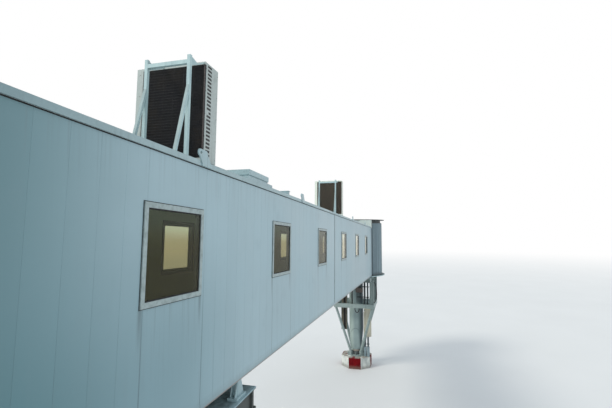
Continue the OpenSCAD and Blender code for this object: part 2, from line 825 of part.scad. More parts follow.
// Slats side by side around one half of the chamber
module curtain() {
    slat_w = (curtain_r - slat_bulge - 2 * slat_t) * slat_step * PI / 180 - fit;
    for (i = [0:slat_count - 1])
        rotate([0, 0, outlet_angle + (i + 0.5) * slat_step]) translate([0, 0, curtain_foot])
            linear_extrude(curtain_top - curtain_foot) slat_profile(slat_w);
}

module curtain_left() {
    color(curtain_color) curtain();
}

module curtain_right() {
    color(curtain_color) mirror([0, 1, 0]) curtain();
}

// Beams under the chamber's base plate, which reach out to carry the walkway's end
module chamber_bearers() {
    z = base_z - bearer_h;
    color(steel_color) {
        for (x = [-1, 1]) translate([x * (frame_l - beam_w) / 2, frame_w / 2, z])
            rotate([90, 0, 0]) linear_extrude(frame_w) beam_profile(beam_w, bearer_h, channel_t);
        for (y = [-1, 1]) translate([-bearer_reach, y * (frame_w - post_w) / 2, z]) rotate([90, 0, 90])
            linear_extrude(bearer_reach + frame_l / 2) beam_profile(beam_w, bearer_h, channel_t);
        translate([-bearer_reach + beam_w, (frame_w - post_w) / 2, z]) rotate([90, 0, 0])
            linear_extrude(frame_w - post_w) beam_profile(beam_w, bearer_h, channel_t);
    }
}

// Square frame around the column with a post at each corner
module column_frame() {
    side_y = (frame_w - beam_w) / 2;
    color(steel_color) {
        difference() {
            translate([-frame_l / 2, -frame_w / 2, frame_z]) cube([frame_l, frame_w, beam_h]);
            translate([-frame_l / 2 + beam_w, -frame_w / 2 + beam_w, frame_z - over])
                cube([frame_l - 2 * beam_w, frame_w - 2 * beam_w, beam_h + 2 * over]);
        }
        for (x = [-1, 1]) translate([x * (frame_l / 2 - beam_w / 2) - beam_w / 2, -side_y, frame_z + 40])
            cube([beam_w, 2 * side_y, beam_h - 80]);
        for (x = [-1, 1], y = [-1, 1])
            translate([x * (frame_l - beam_w) / 2, y * (frame_w - post_w) / 2, frame_top])
                linear_extrude(base_z - bearer_h - frame_top) post_profile();
        difference() {
            translate([-beam_w / 2, -side_y, frame_z + 40]) cube([beam_w, 2 * side_y, beam_h - 80]);
            translate([0, 0, frame_z]) cylinder(h = beam_h, r = tube_r, $fn = large_fn);
        }
    }
}

// Section of an H shaped post
module post_profile() {
    t = 16;
    for (y = [-1, 1]) translate([-beam_w / 2, y * (post_w - t) / 2 - t / 2]) square([beam_w, t]);
    translate([-t / 2, -post_w / 2]) square([t, post_w]);
}

// Round tube whose foot is cut to a taper by four sloping flats
module tapered_tube(top) {
    taper_z = plinth_h + neck_h;
    difference() {
        translate([0, 0, taper_z]) cylinder(h = top - taper_z, r = tube_r, $fn = large_fn);
        for (a = [0:90:270]) rotate([0, 0, a]) translate([neck_r, -2 * tube_r, taper_z]) rotate([0, taper, 0])
            translate([0, 0, -4 * tube_r]) cube([4 * tube_r, 4 * tube_r, 20 * tube_r]);
    }
    translate([0, 0, tube_foot_z]) cylinder(h = neck_h - flange_t, r = neck_r, $fn = large_fn);
    translate([0, 0, taper_z - 150]) cylinder(h = 70, r = neck_r + ring_out, $fn = large_fn);
}

module column_tube() {
    head_gap = 60;
    top = base_z - bearer_h;
    color(steel_color) {
        tapered_tube(top);
        translate([0, 0, top]) cylinder(h = bearer_h - head_gap, r = tube_r + 90, $fn = large_fn);
        translate([0, 0, base_z - head_gap]) cylinder(h = head_gap, r = tube_r + 20, $fn = large_fn);
    }
}

// Pair of braces from a beam down to the base flange's brackets on the side that faces dir
module brace_pair(dir, reach, top_y, top_z) {
    foot = bracket_r * sqrt(0.5);
    foot_z = tube_foot_z + bracket_h;
    for (y = [-1, 1]) intersection() {
        bar([dir * foot, y * foot, foot_z - 60], [dir * reach, y * top_y, top_z + 60], brace_w, brace_t);
        translate([-2 * reach, -2 * top_y, foot_z]) cube([4 * reach, 4 * top_y, top_z - foot_z]);
    }
}

module column_braces() {
    color(steel_color) for (dir = [-1, 1])
        brace_pair(dir, frame_l / 2 - beam_w / 2, frame_w / 2 - brace_t, frame_z);
}

// Octagonal concrete block with small chamfers at its top edge
module plinth() {
    edge = 25;
    r = plinth_w / 2 / cos(22.5);
    rotate([0, 0, 22.5]) cylinder(h = plinth_h - edge, r = r, $fn = 8);
    rotate([0, 0, 22.5]) translate([0, 0, plinth_h - edge]) cylinder(h = edge, r = r - edge, $fn = 8);
}

module plinths() {
    color("firebrick") {
        plinth();
        translate([-pier_reach, 0, 0]) plinth();
    }
}

// Round base flange with anchor bolts, stiffeners and a bracket under each brace
module base_flange() {
    rib_t = 20;
    rib_h = 180;
    nut_h = 36;
    bracket_w = 180;
    bracket_l = 130;
    translate([0, 0, flange_z]) {
        difference() {
            cylinder(h = flange_t, r = flange_r, $fn = large_fn);
            for (i = [0:bolt_count - 1]) rotate([0, 0, i * 360 / bolt_count])
                translate([bolt_circle_r, 0, -over]) cylinder(h = 2 * over, r = bolt_r + fit, $fn = small_fn);
        }
        for (i = [0:bolt_count - 1]) rotate([0, 0, i * 360 / bolt_count])
            translate([bolt_circle_r, 0, 0]) {
                cylinder(h = flange_t + 2 * nut_h, r = bolt_r, $fn = small_fn);
                translate([0, 0, flange_t]) cylinder(h = nut_h, r = 1.7 * bolt_r, $fn = 6);
            }
        for (i = [0:3]) rotate([0, 0, i * 90]) translate([neck_r, rib_t / 2, flange_t]) rotate([90, 0, 0])
            linear_extrude(rib_t) polygon([
                [0, -flange_t / 2], [flange_r - neck_r - 130, -flange_t / 2],
                [flange_r - neck_r - 130, 0], [0, rib_h]
            ]);
        for (i = [0:3]) rotate([0, 0, 45 + i * 90])
            translate([bracket_r - bracket_l / 2, -bracket_w / 2, flange_t / 2])
                cube([bracket_l, bracket_w, bracket_h + flange_t / 2]);
    }
}

module base_flanges() {
    color(steel_color) {
        base_flange();
        translate([-pier_reach, 0, 0]) base_flange();
    }
}

// Upright cable duct left of the column, open to the terminal and clear of the braces
module cable_duct() {
    duct_w = 390;
    duct_d = 150;
    duct_t = 12;
    duct_foot = frame_z - duct_drop;
    duct_h = base_z - duct_foot;
    strap_h = 40;
    strap_t = 20;
    color(trim_color) translate([-duct_x, duct_y, duct_foot]) {
        difference() {
            cube([duct_d, duct_w, duct_h]);
            translate([-over, duct_t, duct_t]) cube([over + duct_d - duct_t, duct_w - 2 * duct_t, duct_h]);
        }
        for (k = [1:3]) translate([duct_d / 2, k * duct_w / 4, duct_t])
            cylinder(h = duct_h - duct_t, r = cable_r, $fn = small_fn);
        for (k = [0.07, 0.26, 0.7]) translate([duct_d / 2 - cable_r - strap_t, duct_t, k * duct_h])
            cube([strap_t + fit, duct_w - 2 * duct_t, strap_h]);
    }
}

// Upright pipes right of the column with their clamps and the wide sleeve at their foot
module column_pipes() {
    sleeve_top = plinth_h + sleeve_h;
    clamp_h = 90;
    jacket_z = sleeve_top + 640;
    color(steel_color) for (y = [pipe_y, pipe_y + 2 * sleeve_r + 10]) translate([-pipe_x, -y, 0]) {
        translate([0, 0, sleeve_top]) cylinder(h = base_z - sleeve_top, r = pipe_r, $fn = small_fn);
        for (z = [sleeve_top + 120, frame_z - 300])
            translate([0, 0, z]) cylinder(h = clamp_h, r = pipe_r + 20, $fn = small_fn);
        translate([0, 0, jacket_z]) cylinder(h = frame_z - 400 - jacket_z, r = sleeve_r + 4, $fn = small_fn);
        translate([0, 0, plinth_h]) cylinder(h = sleeve_top - plinth_h, r = sleeve_r, $fn = small_fn);
    }
}

// Tube swept along a route that lies in a plane across the walkway
module swept_cable(route) {
    sides = 8;
    n = len(route);
    rings = [for (i = [0:n - 1]) let (
        a = route[max(i - 1, 0)], b = route[min(i + 1, n - 1)],
        t = (b - a) / norm(b - a), s = cross([1, 0, 0], t)
    ) for (k = [0:sides - 1], turn = k * 360 / sides)
        route[i] + cable_r * (cos(turn) * [1, 0, 0] + sin(turn) * s)];
    skin = [for (i = [0:n - 2], k = [0:sides - 1])
        [i * sides + k, i * sides + (k + 1) % sides, (i + 1) * sides + (k + 1) % sides, (i + 1) * sides + k]];
    first = [for (k = [sides - 1:-1:0]) k];
    last = [for (k = [0:sides - 1]) (n - 1) * sides + k];
    polyhedron(points = rings, faces = concat([first, last], skin));
}

module hanging_cables() {
    color(dark_color) {
        swept_cable([for (p = bow) [cable_x, -frame_w / 2 - p[0], bow_foot + p[1] * bow_h]]);
        swept_cable([for (p = loop) [cable_x, -p[0], frame_z - p[1]]]);
    }
}

// The near pier repeats the column below its crosshead
module pier_tube() {
    color(steel_color) translate([-pier_reach, 0, 0]) tapered_tube(crosshead_top - crosshead_h);
}

module pier_braces() {
    color(steel_color) translate([-pier_reach, 0, 0]) for (dir = [-1, 1])
        brace_pair(dir, neck_r + brace_t, walk_w / 2 - brace_w, crosshead_top - crosshead_h);
}

// Box crosshead of two plates with webs and end plates
module pier_crosshead() {
    z = crosshead_top - crosshead_h;
    web_x = crosshead_l / 2 - 120;
    color(steel_color) translate([-pier_reach, 0, z]) {
        translate([-crosshead_l / 2, -walk_w / 2, 0]) cube([crosshead_l, walk_w, plate_t]);
        translate([-crosshead_l / 2, -walk_w / 2, crosshead_h - plate_t])
            cube([crosshead_l, walk_w, plate_t]);
        for (x = [-web_x, web_x - plate_t]) translate([x, -walk_w / 2, plate_t])
            cube([plate_t, walk_w, crosshead_h - 2 * plate_t]);
        for (y = [-walk_w / 2 + 40, -400, 400 - plate_t, walk_w / 2 - 40 - plate_t])
            translate([-crosshead_l / 2, y, plate_t])
                cube([crosshead_l, plate_t, crosshead_h - 2 * plate_t]);
    }
}

// Bearing with gussets that stands at a height and ends at the floor channel above it
module bearing(x, foot_z) {
    y = inner_y - channel_w / 2;
    pad_t = 40;
    pad_l = 320;
    gusset_t = 16;
    gusset_h = 0.7 * bearing_h;
    intersection() {
        translate([-x, y, foot_z]) {
            translate([-pad_l / 2, -0.8 * channel_w, 0]) cube([pad_l, 1.6 * channel_w, pad_t]);
            translate([-0.6 * channel_w, -channel_w / 2, 0])
                cube([1.2 * channel_w, channel_w, bearing_h + over]);
            for (s = [-1, 1]) translate([0, s * 0.36 * channel_w, pad_t]) rotate([90, 0, 0])
                translate([0, 0, -gusset_t / 2]) linear_extrude(gusset_t) polygon([
                    [-0.46 * pad_l, 0], [0.46 * pad_l, 0],
                    [0.6 * channel_w, gusset_h], [-0.6 * channel_w, gusset_h]
                ]);
        }
        on_walkway() translate([-walk_l, 0, -3 * bearing_h]) cube([walk_l + over, walk_w, 3 * bearing_h]);
    }
}

module walkway_bearings() {
    color(trim_color) both_sides() {
        bearing(pier_reach, crosshead_top);
        bearing(end_bearing_x, base_z);
    }
}

wall_right_a();
wall_right_b();
wall_left_a();
wall_left_b();
floor_deck();
floor_channels();
floor_joists();
roof_a();
roof_b();
roof_fascias();
foot_trims();
window_frames();
window_glass();
terminal_frame();
section_joint();
cooler_a_casing();
cooler_a_coil();
cooler_a_fans();
cooler_a_guard();
cooler_b_casing();
cooler_b_coil();
cooler_b_fans();
cooler_b_guard();
roof_boxes();
lifting_lugs();
entry_frame();
outlet_frame();
chamber_floor();
chamber_base();
chamber_roof();
curtain_tracks();
curtain_right();
curtain_left();
chamber_bearers();
column_frame();
column_tube();
column_braces();
plinths();
base_flanges();
cable_duct();
column_pipes();
hanging_cables();
pier_tube();
pier_braces();
pier_crosshead();
walkway_bearings();
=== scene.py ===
# Looks of the jet bridge: the fixed walkway, its swing chamber, its column and its near pier.
# Lengths are in metres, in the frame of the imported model. The walkway slopes, and its own frame has
# x along its foot (0 at the chamber's end, negative towards the terminal) and z square to that.
import math
import random

import bmesh
import bpy
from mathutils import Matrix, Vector


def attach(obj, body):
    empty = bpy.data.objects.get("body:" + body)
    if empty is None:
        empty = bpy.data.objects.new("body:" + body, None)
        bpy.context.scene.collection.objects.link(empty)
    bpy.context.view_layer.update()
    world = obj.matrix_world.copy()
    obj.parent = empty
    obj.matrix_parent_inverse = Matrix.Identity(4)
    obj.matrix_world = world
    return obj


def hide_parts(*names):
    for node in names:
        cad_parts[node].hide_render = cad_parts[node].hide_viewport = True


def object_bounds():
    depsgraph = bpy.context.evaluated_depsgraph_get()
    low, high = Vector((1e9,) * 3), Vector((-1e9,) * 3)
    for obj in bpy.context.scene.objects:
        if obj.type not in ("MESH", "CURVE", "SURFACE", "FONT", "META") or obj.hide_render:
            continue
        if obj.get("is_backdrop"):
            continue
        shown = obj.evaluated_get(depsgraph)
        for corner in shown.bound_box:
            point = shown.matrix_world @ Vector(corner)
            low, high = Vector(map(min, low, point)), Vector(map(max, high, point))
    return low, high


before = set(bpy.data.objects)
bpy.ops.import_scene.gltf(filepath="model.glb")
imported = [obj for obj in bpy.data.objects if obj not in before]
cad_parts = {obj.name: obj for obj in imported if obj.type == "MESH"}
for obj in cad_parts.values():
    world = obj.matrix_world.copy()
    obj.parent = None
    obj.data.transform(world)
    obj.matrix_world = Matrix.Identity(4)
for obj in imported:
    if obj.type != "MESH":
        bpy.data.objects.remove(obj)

CAD_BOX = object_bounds()
random.seed(11)

# ---------------------------------------------------------------- measures taken from the model

SLOPE = math.radians(1.83)
CS, SN = math.cos(SLOPE), math.sin(SLOPE)
START_X, END_X, FOOT_Z = -25.18, -1.78, 5.99        # plumb ends of the walls, and their foot at END_X
TRIM_START, TRIM_END = -23.36, -0.02                # ends of the trims along the walls
JOINT = -11.72
WALL_Y, INNER_Y = 1.2, 1.13
WALL_H, ROOF_H = 2.92, 2.997
PITCH, PANEL_0 = 3.6, -21.22                        # window bays, and where one of their panels starts
PANEL, PLANK, PLANKS = 1.12, 0.31, 8                # wide panel of a bay, and its narrow planks
WINDOW_0 = -2.72
WINDOWS = [WINDOW_0 - PITCH * i for i in range(6)]
HOLE_W, HOLE_LO, HOLE_HI = 1.04, 1.40, 2.37         # hole in the wall
FRAME_W, FRAME_LO, FRAME_HI = 1.10, 1.37, 2.40      # outer edge of the window frame
LIGHT_W, LIGHT_LO, LIGHT_HI = 0.99, 1.425, 2.345    # its inner edge

COOLERS = {"a": -20.15, "b": -10.15}
COOLER_Y, COOLER_W, COOLER_D, COOLER_H, RAIL_H = -1.15, 1.03, 0.34, 1.30, 0.04
COIL_LO, COIL_HI = RAIL_H + 0.037, RAIL_H + COOLER_H - 0.037
COIL_W = COOLER_W - 0.095 - 0.004
SLOTS, SLOT_IN, SLOT_D, SLOT_T = 25, 0.07, 0.103, 0.02301
SLOT_PITCH = 1.25 / 24.45
HALF_SLOTS = (12, 24)                               # slots of half the length, counted from the top
HOOD, SMALL_BOX = (-18.6, -17.1), (-16.25, -15.9)   # roof boxes, from and to
LUGS = (-20.17, -15.69, -7.75, -3.27)

PIER_X, CROSSHEAD_FLANGE_Z = -20.58, 6.24
HEADER_Z = 8.915                                    # foot of the pale header panel
SLAT_0, SLAT_STEP = math.radians(48.37), math.radians(3.569)
CURTAIN_LO, CURTAIN_H = 5.955, 3.255
FLANGE_TOP, STUD_RING, STUDS = 0.73, 0.54, 12


def walk(x, y, z):
    """A point of the walkway's own frame in the model's frame."""
    return Vector((END_X + x * CS + z * SN, y, FOOT_Z - x * SN + z * CS))


def plumb(world_x, z):
    """The walkway's own x where a plumb cut at world_x meets the height z."""
    return (world_x - END_X - z * SN) / CS


def steps(x, end, step):
    """Places from x to before end, a step apart."""
    while x < end:
        yield x
        x += step


def lin(r, g, b):
    """Linear colour of an 8-bit display colour."""
    return tuple((c / 12.92 if c <= 0.04045 else ((c + 0.055) / 1.055) ** 2.4)
                 for c in (r / 255, g / 255, b / 255)) + (1.0,)


# ---------------------------------------------------------------- node trees

class Nodes:
    """Adds nodes to a tree. A stretch is one number, or three for x, y and z."""

    def __init__(self, tree):
        self.tree = tree

    def add(self, kind, **props):
        node = self.tree.nodes.new(kind)
        for key, value in props.items():
            setattr(node, key, value)
        return node

    def put(self, socket, value):
        if isinstance(value, bpy.types.NodeSocket):
            self.tree.links.new(value, socket)
        elif value is not None:
            socket.default_value = value

    def fill(self, node, **sockets):
        """Puts values or links into a node's sockets. An underscore stands for a space."""
        for key, value in sockets.items():
            self.put(node.inputs[key.replace("_", " ")], value)

    def math(self, op, a, b=None):
        node = self.add("ShaderNodeMath", operation=op)
        self.put(node.inputs[0], a)
        self.put(node.inputs[1], b)
        return node.outputs[0]

    def seen(self):
        """1 for the rays that show a surface in the picture, 0 for those that only light others."""
        rays = self.add("ShaderNodeLightPath").outputs
        mirrored = self.math("MAXIMUM", rays["Is Glossy Ray"], rays["Is Transmission Ray"])
        return self.math("MAXIMUM", rays["Is Camera Ray"], mirrored)

    def mix_shaders(self, fac, a, b):
        node = self.add("ShaderNodeMixShader")
        for socket, value in zip(node.inputs, (fac, a, b)):
            self.put(socket, value)
        return node.outputs[0]

    def background(self, colour, strength):
        node = self.add("ShaderNodeBackground")
        self.fill(node, Color=colour, Strength=strength)
        return node.outputs[0]


class Look(Nodes):
    """Builds one procedural material."""

    def __init__(self, name):
        self.mat = bpy.data.materials.new(name)
        self.mat.use_nodes = True
        super().__init__(self.mat.node_tree)
        self.shader = self.tree.nodes["Principled BSDF"]
        self.pos = self.add("ShaderNodeTexCoord").outputs["Object"]

    # Places

    def xyz(self, vector=None):
        node = self.add("ShaderNodeSeparateXYZ")
        self.put(node.inputs[0], self.pos if vector is None else vector)
        return tuple(node.outputs)

    def dot(self, a, b):
        node = self.add("ShaderNodeVectorMath", operation="DOT_PRODUCT")
        self.put(node.inputs[0], a)
        self.put(node.inputs[1], b)
        return node.outputs["Value"]

    def along(self):
        """The walkway's own x."""
        return self.math("ADD", self.dot(self.pos, (CS, 0, -SN)), -END_X * CS + FOOT_Z * SN)

    def height(self):
        """The walkway's own z."""
        return self.math("ADD", self.dot(self.pos, (SN, 0, CS)), -END_X * SN - FOOT_Z * CS)

    def normal(self):
        return self.add("ShaderNodeNewGeometry").outputs["Normal"]

    def facing_up(self):
        return self.xyz(self.normal())[2]

    # Values

    def times(self, *values):
        out = values[0]
        for value in values[1:]:
            out = self.math("MULTIPLY", out, value)
        return out

    def off(self, value, place):
        """How far a value is from a place."""
        return self.math("ABSOLUTE", self.math("SUBTRACT", value, place))

    def to_nearest(self, value, pitch):
        """How far a value is from the nearest multiple of a pitch."""
        return self.times(self.math("PINGPONG", self.math("DIVIDE", value, pitch), 0.5), pitch)

    def ramp(self, value, lo, hi, a=0.0, b=1.0):
        """Goes smoothly from a at lo to b at hi."""
        node = self.add("ShaderNodeMapRange", interpolation_type="SMOOTHSTEP")
        self.fill(node, Value=value, From_Min=lo, From_Max=hi, To_Min=a, To_Max=b)
        return node.outputs["Result"]

    def scaled(self, stretch):
        node = self.add("ShaderNodeMapping")
        self.fill(node, Vector=self.pos, Scale=stretch if isinstance(stretch, tuple) else (stretch,) * 3)
        return node.outputs[0]

    def noise(self, stretch, detail=3.0, rough=0.5):
        node = self.add("ShaderNodeTexNoise")
        self.fill(node, Vector=self.scaled(stretch), Scale=1.0, Detail=detail, Roughness=rough)
        return node.outputs[0]

    def patches(self, stretch, lo, hi, detail=5, rough=0.6):
        """Noise cut into patches: 0 below lo and 1 above hi."""
        return self.ramp(self.noise(stretch, detail, rough), lo, hi)

    def number(self, dimensions, socket, value):
        """A random number for each whole value."""
        node = self.add("ShaderNodeTexWhiteNoise", noise_dimensions=dimensions)
        self.put(node.inputs[socket], value)
        return node.outputs["Value"]

    # Colours

    def blend(self, fac, a, b):
        node = self.add("ShaderNodeMix", data_type="RGBA")
        self.put(node.inputs[0], fac)
        self.put(node.inputs[6], a)
        self.put(node.inputs[7], b)
        return node.outputs[2]

    def stain(self, colour, dirt, *factors):
        return self.blend(self.times(*factors), colour, dirt)

    def shade(self, colour, factor):
        """Multiplies a colour by a grey factor."""
        node = self.add("ShaderNodeVectorMath", operation="SCALE")
        self.put(node.inputs[0], colour)
        self.put(node.inputs["Scale"], factor)
        return node.outputs[0]

    def speckle(self, colour, fine, lo, hi):
        """Varies a colour between two grey factors by a fine noise."""
        return self.shade(colour, self.ramp(fine, 0.3, 0.7, lo, hi))

    # Surface

    def bump(self, height, strength, distance, normal=None):
        node = self.add("ShaderNodeBump")
        self.fill(node, Height=height, Strength=strength, Distance=distance, Normal=normal)
        return node.outputs[0]

    def round_edges(self, radius):
        node = self.add("ShaderNodeBevel", samples=4)
        self.fill(node, Radius=radius)
        return node.outputs[0]

    def peel(self, edge):
        """Orange peel of sprayed paint."""
        return self.bump(self.noise(160, 2), 0.10, 0.0006, self.round_edges(edge))

    def done(self, colour, rough, normal=None, metal=0.0, **sockets):
        self.fill(self.shader, Base_Color=colour, Roughness=rough, Normal=normal, Metallic=metal, **sockets)
        return self.mat


# ---------------------------------------------------------------- materials

def paint(name, base, worn, dirt, rough, streak=0.35, grime=0.25, edge=0.004, rust=0.0):
    """Weathered paint on metal: cloudy tone, rain streaks, grime in patches and a faint orange peel."""
    k = Look(name)
    colour = k.stain(base, worn, k.patches(0.9, 0.32, 0.68, 4, 0.55), 0.6)
    colour = k.stain(colour, dirt, k.patches((17, 17, 0.5), 0.52, 0.74, 3), streak)
    spots = k.patches((6, 6, 4), 0.56, 0.74, 5, 0.65)
    colour = k.stain(colour, dirt, spots, grime)
    colour = k.speckle(colour, k.noise(26, 4, 0.6), 0.955, 1.035)
    if rust:
        colour = k.stain(colour, lin(112, 72, 48), k.patches((9, 9, 5), 0.66, 0.72, 6, 0.7), rust)
    dents = k.bump(k.noise((2.2, 2.2, 1.4), 2, 0.4), 0.25, 0.01, k.peel(edge))
    return k.done(colour, k.ramp(spots, 0, 1, *rough), dents)


def wall_paint(name):
    """Paint of the wall planks, with a tone for each plank and dirt at seams, windows and foot."""
    k = Look(name)
    x, z = k.along(), k.height()

    # Where a point lies in its bay: u from the panel's start, and the number of its plank
    bay = k.math("DIVIDE", k.math("SUBTRACT", x, PANEL_0), PITCH)
    u = k.times(k.math("FRACT", bay), PITCH)
    plank = k.math("DIVIDE", k.math("SUBTRACT", u, PANEL), PLANK)
    both = k.add("ShaderNodeCombineXYZ")
    k.put(both.inputs[0], k.math("FLOOR", k.math("MAXIMUM", plank, -1.0)))
    k.put(both.inputs[1], k.math("FLOOR", bay))
    tone = k.ramp(k.number("2D", "Vector", both.outputs[0]), 0, 1, 0.986, 1.012)
    on_planks = k.math("GREATER_THAN", plank, 0.0)
    thin_seam = k.times(k.ramp(k.math("PINGPONG", plank, 0.5), 0.010, 0.036, 1.0, 0.0), on_planks)
    panel_edge = k.math("MINIMUM", k.off(u, PANEL), k.math("MINIMUM", u, k.math("SUBTRACT", PITCH, u)))
    strong_seam = k.ramp(panel_edge, 0.004, 0.014, 1.0, 0.0)
    beside = k.to_nearest(k.math("SUBTRACT", x, WINDOW_0), PITCH)
    below_window = k.ramp(z, FRAME_LO + 0.01, FRAME_LO - 0.01)

    # Base tone, a little darker in the far bays
    cloud = k.patches((0.55, 0.55, 0.8), 0.3, 0.7, 5, 0.55)
    colour = k.blend(cloud, lin(153, 177, 184), lin(160, 184, 191))
    colour = k.shade(colour, k.math("ADD", k.times(k.ramp(x, -7.5, -12.0), 0.07), 0.985))
    # Painted shade towards the terminal end, darkest low down: it stands in for the terminal building's shade and
    # the dark ground reflected in the paint
    colour = k.stain(colour, lin(92, 128, 134), k.ramp(x, -20.9, -23.2))
    colour = k.stain(colour, lin(98, 136, 145), k.ramp(x, -18.4, -21.0), k.ramp(z, 2.4, 0.5), 0.6)
    colour = k.stain(colour, lin(58, 108, 112), k.ramp(x, -21.0, -23.0), k.ramp(z, 1.9, 0.1), 0.76)

    # Rain streaks, all over, below the windows and their corners, and below the roof
    runs = k.patches((22, 22, 0.45), 0.5, 0.76, 4)
    colour = k.stain(colour, lin(120, 142, 148), runs, k.ramp(z, 0.0, 1.5, 1.0, 0.3), 0.22)
    under = k.times(k.ramp(beside, 0.62, 0.50), k.ramp(z, 0.15, 1.25), below_window)
    colour = k.stain(colour, lin(108, 126, 130), under, k.patches((34, 34, 0.7), 0.50, 0.72, 3), 0.30)
    corner = k.times(k.ramp(k.off(beside, 0.54), 0.05, 0.0), k.ramp(z, 0.9, 1.37), below_window)
    colour = k.stain(colour, lin(88, 106, 110), corner, 0.6)
    head = k.times(k.ramp(z, 2.3, 2.9), k.patches((30, 30, 0.6), 0.5, 0.75, 3))
    colour = k.stain(colour, lin(112, 128, 132), head, 0.28)
    colour = k.stain(colour, lin(122, 146, 154), k.patches((2.6, 2.6, 1.7), 0.55, 0.72, 6, 0.62), 0.14)

    # Dirt in the seams and along the foot
    fade = k.ramp(z, 0.4, 2.2, 1.0, 0.15)
    colour = k.stain(colour, lin(92, 112, 118), thin_seam, fade, 0.14)
    colour = k.stain(colour, lin(84, 102, 108), strong_seam, fade, 0.50)
    ragged = k.math("ADD", z, k.times(k.noise(5, 4), -0.10))
    colour = k.stain(colour, lin(98, 108, 106), k.ramp(ragged, -0.03, 0.09, 0.25, 0.0))
    colour = k.stain(colour, lin(138, 118, 106), k.ramp(z, 0.016, 0.004, 0.0, 0.7))
    colour = k.shade(colour, tone)
    wave = k.bump(k.noise((1.6, 1.6, 0.5), 2, 0.4), 0.18, 0.010, k.bump(k.noise(120, 2), 0.08, 0.0006))
    return k.done(colour, k.ramp(cloud, 0, 1, 0.36, 0.46), wave)


def room_look(name):
    """Inner lining of the walls, with painted light: dull olive low down and pale green-grey from the windows'
    heads up, standing in for the bright sky seen in the panes' upper part.
    """
    k = Look(name)
    cloud = k.patches(1.2, 0.3, 0.7)
    low = k.blend(cloud, lin(152, 160, 126), lin(138, 146, 116))
    high = k.blend(cloud, lin(214, 230, 214), lin(200, 216, 202))
    fine = k.noise(30, 4, 0.6)
    # Painted light: the lining is far paler above the windows' heads than below them
    colour = k.speckle(k.blend(k.ramp(k.height(), 1.5, 2.35), low, high), fine, 0.95, 1.04)
    return k.done(colour, 0.6, k.bump(fine, 0.05, 0.001))


def fascia_look(name):
    """Roof fascias: light trim paint, darker towards the terminal as painted shade, with runs and rust at the
    lugs' feet.
    """
    k = Look(name)
    x = k.along()
    cloud = k.patches((1.3, 1.3, 3), 0.3, 0.7)
    colour = k.blend(cloud, lin(164, 186, 189), lin(156, 177, 180))
    # Painted shade towards the terminal end, as on the walls
    colour = k.stain(colour, lin(124, 148, 152), k.ramp(x, -20.9, -23.4))
    colour = k.stain(colour, lin(112, 128, 130), k.patches((16, 16, 1.2), 0.5, 0.75, 4), 0.3)
    spots = k.patches((22, 22, 14), 0.52, 0.62, 5, 0.65)
    for lug in LUGS:
        colour = k.stain(colour, lin(118, 92, 78), k.ramp(k.off(x, lug), 0.20, 0.04), spots, 0.75)
    colour = k.speckle(colour, k.noise(30, 4, 0.6), 0.96, 1.03)
    return k.done(colour, k.ramp(cloud, 0, 1, 0.4, 0.5), k.peel(0.004))


def trim_with_dust_and_shade(name, share, dust):
    """Trim paint with a share of a darker colour on the faces that look up: dust on the guards, painted shade on
    the chamber's base plate.
    """
    k = Look(name)
    colour = k.blend(k.patches((6, 6, 3), 0.35, 0.7), lin(183, 206, 206), lin(164, 188, 191))
    colour = k.stain(colour, dust, k.ramp(k.facing_up(), 0.12, 0.4), share)
    colour = k.stain(colour, lin(120, 134, 134), k.patches((26, 26, 3), 0.5, 0.75, 4), 0.3)
    fine = k.noise(40, 4, 0.6)
    colour = k.speckle(colour, fine, 0.95, 1.03)
    return k.done(colour, 0.55, k.bump(fine, 0.08, 0.001, k.round_edges(0.004)), Specular_IOR_Level=0.25)


def plate_look(name):
    """Roof plate of the chamber: weathered top, with painted shade making its underside and skirt dark."""
    k = Look(name)
    cloud = k.patches(2, 0.35, 0.7)
    top = k.blend(cloud, lin(172, 184, 182), lin(152, 164, 162))
    # Painted shade: a dark copy of the top's paint for the faces that don't look up
    shaded_underside = k.blend(cloud, lin(70, 78, 78), lin(58, 64, 64))
    colour = k.blend(k.ramp(k.facing_up(), 0.6, 0.3), top, shaded_underside)
    colour = k.stain(colour, lin(116, 120, 112), k.patches(1.4, 0.5, 0.7), 0.35)
    return k.done(colour, 0.55, k.bump(k.noise(30, 4, 0.6), 0.1, 0.001, k.round_edges(0.003)))


def crosshead_look(name):
    """Crosshead of the pier, with painted shade: dark webs and underside under a top flange with pale edges, and
    the walkway's shadow painted on the faces that look up.
    """
    k = Look(name)
    y, z = k.xyz()[1:]
    cloud = k.patches(4, 0.35, 0.7)
    # Painted shade: the webs are a dark copy of the flange's paint
    webs = k.blend(cloud, lin(74, 80, 78), lin(60, 64, 62))
    flange = k.blend(cloud, lin(150, 176, 182), lin(134, 158, 164))
    colour = k.blend(k.ramp(z, CROSSHEAD_FLANGE_Z - 0.002, CROSSHEAD_FLANGE_Z + 0.002), webs, flange)
    # Painted shadow of the walkway on the faces that look up beneath it; the noise named grime only mottles this
    # shadow
    grime = k.ramp(k.noise(9, 5, 0.65), 0.4, 0.6, 0.3, 0.7)
    walkway_shadow_mask = k.ramp(k.math("ABSOLUTE", y), 1.17, 1.08)
    colour = k.stain(colour, lin(78, 88, 88), k.ramp(k.facing_up(), 0.5, 0.9), grime, walkway_shadow_mask)
    colour = k.stain(colour, lin(96, 66, 50), k.patches((9, 9, 5), 0.63, 0.70, 6, 0.7), 0.5)
    return k.done(colour, 0.6, k.bump(k.noise(30, 4, 0.6), 0.12, 0.002, k.round_edges(0.004)))


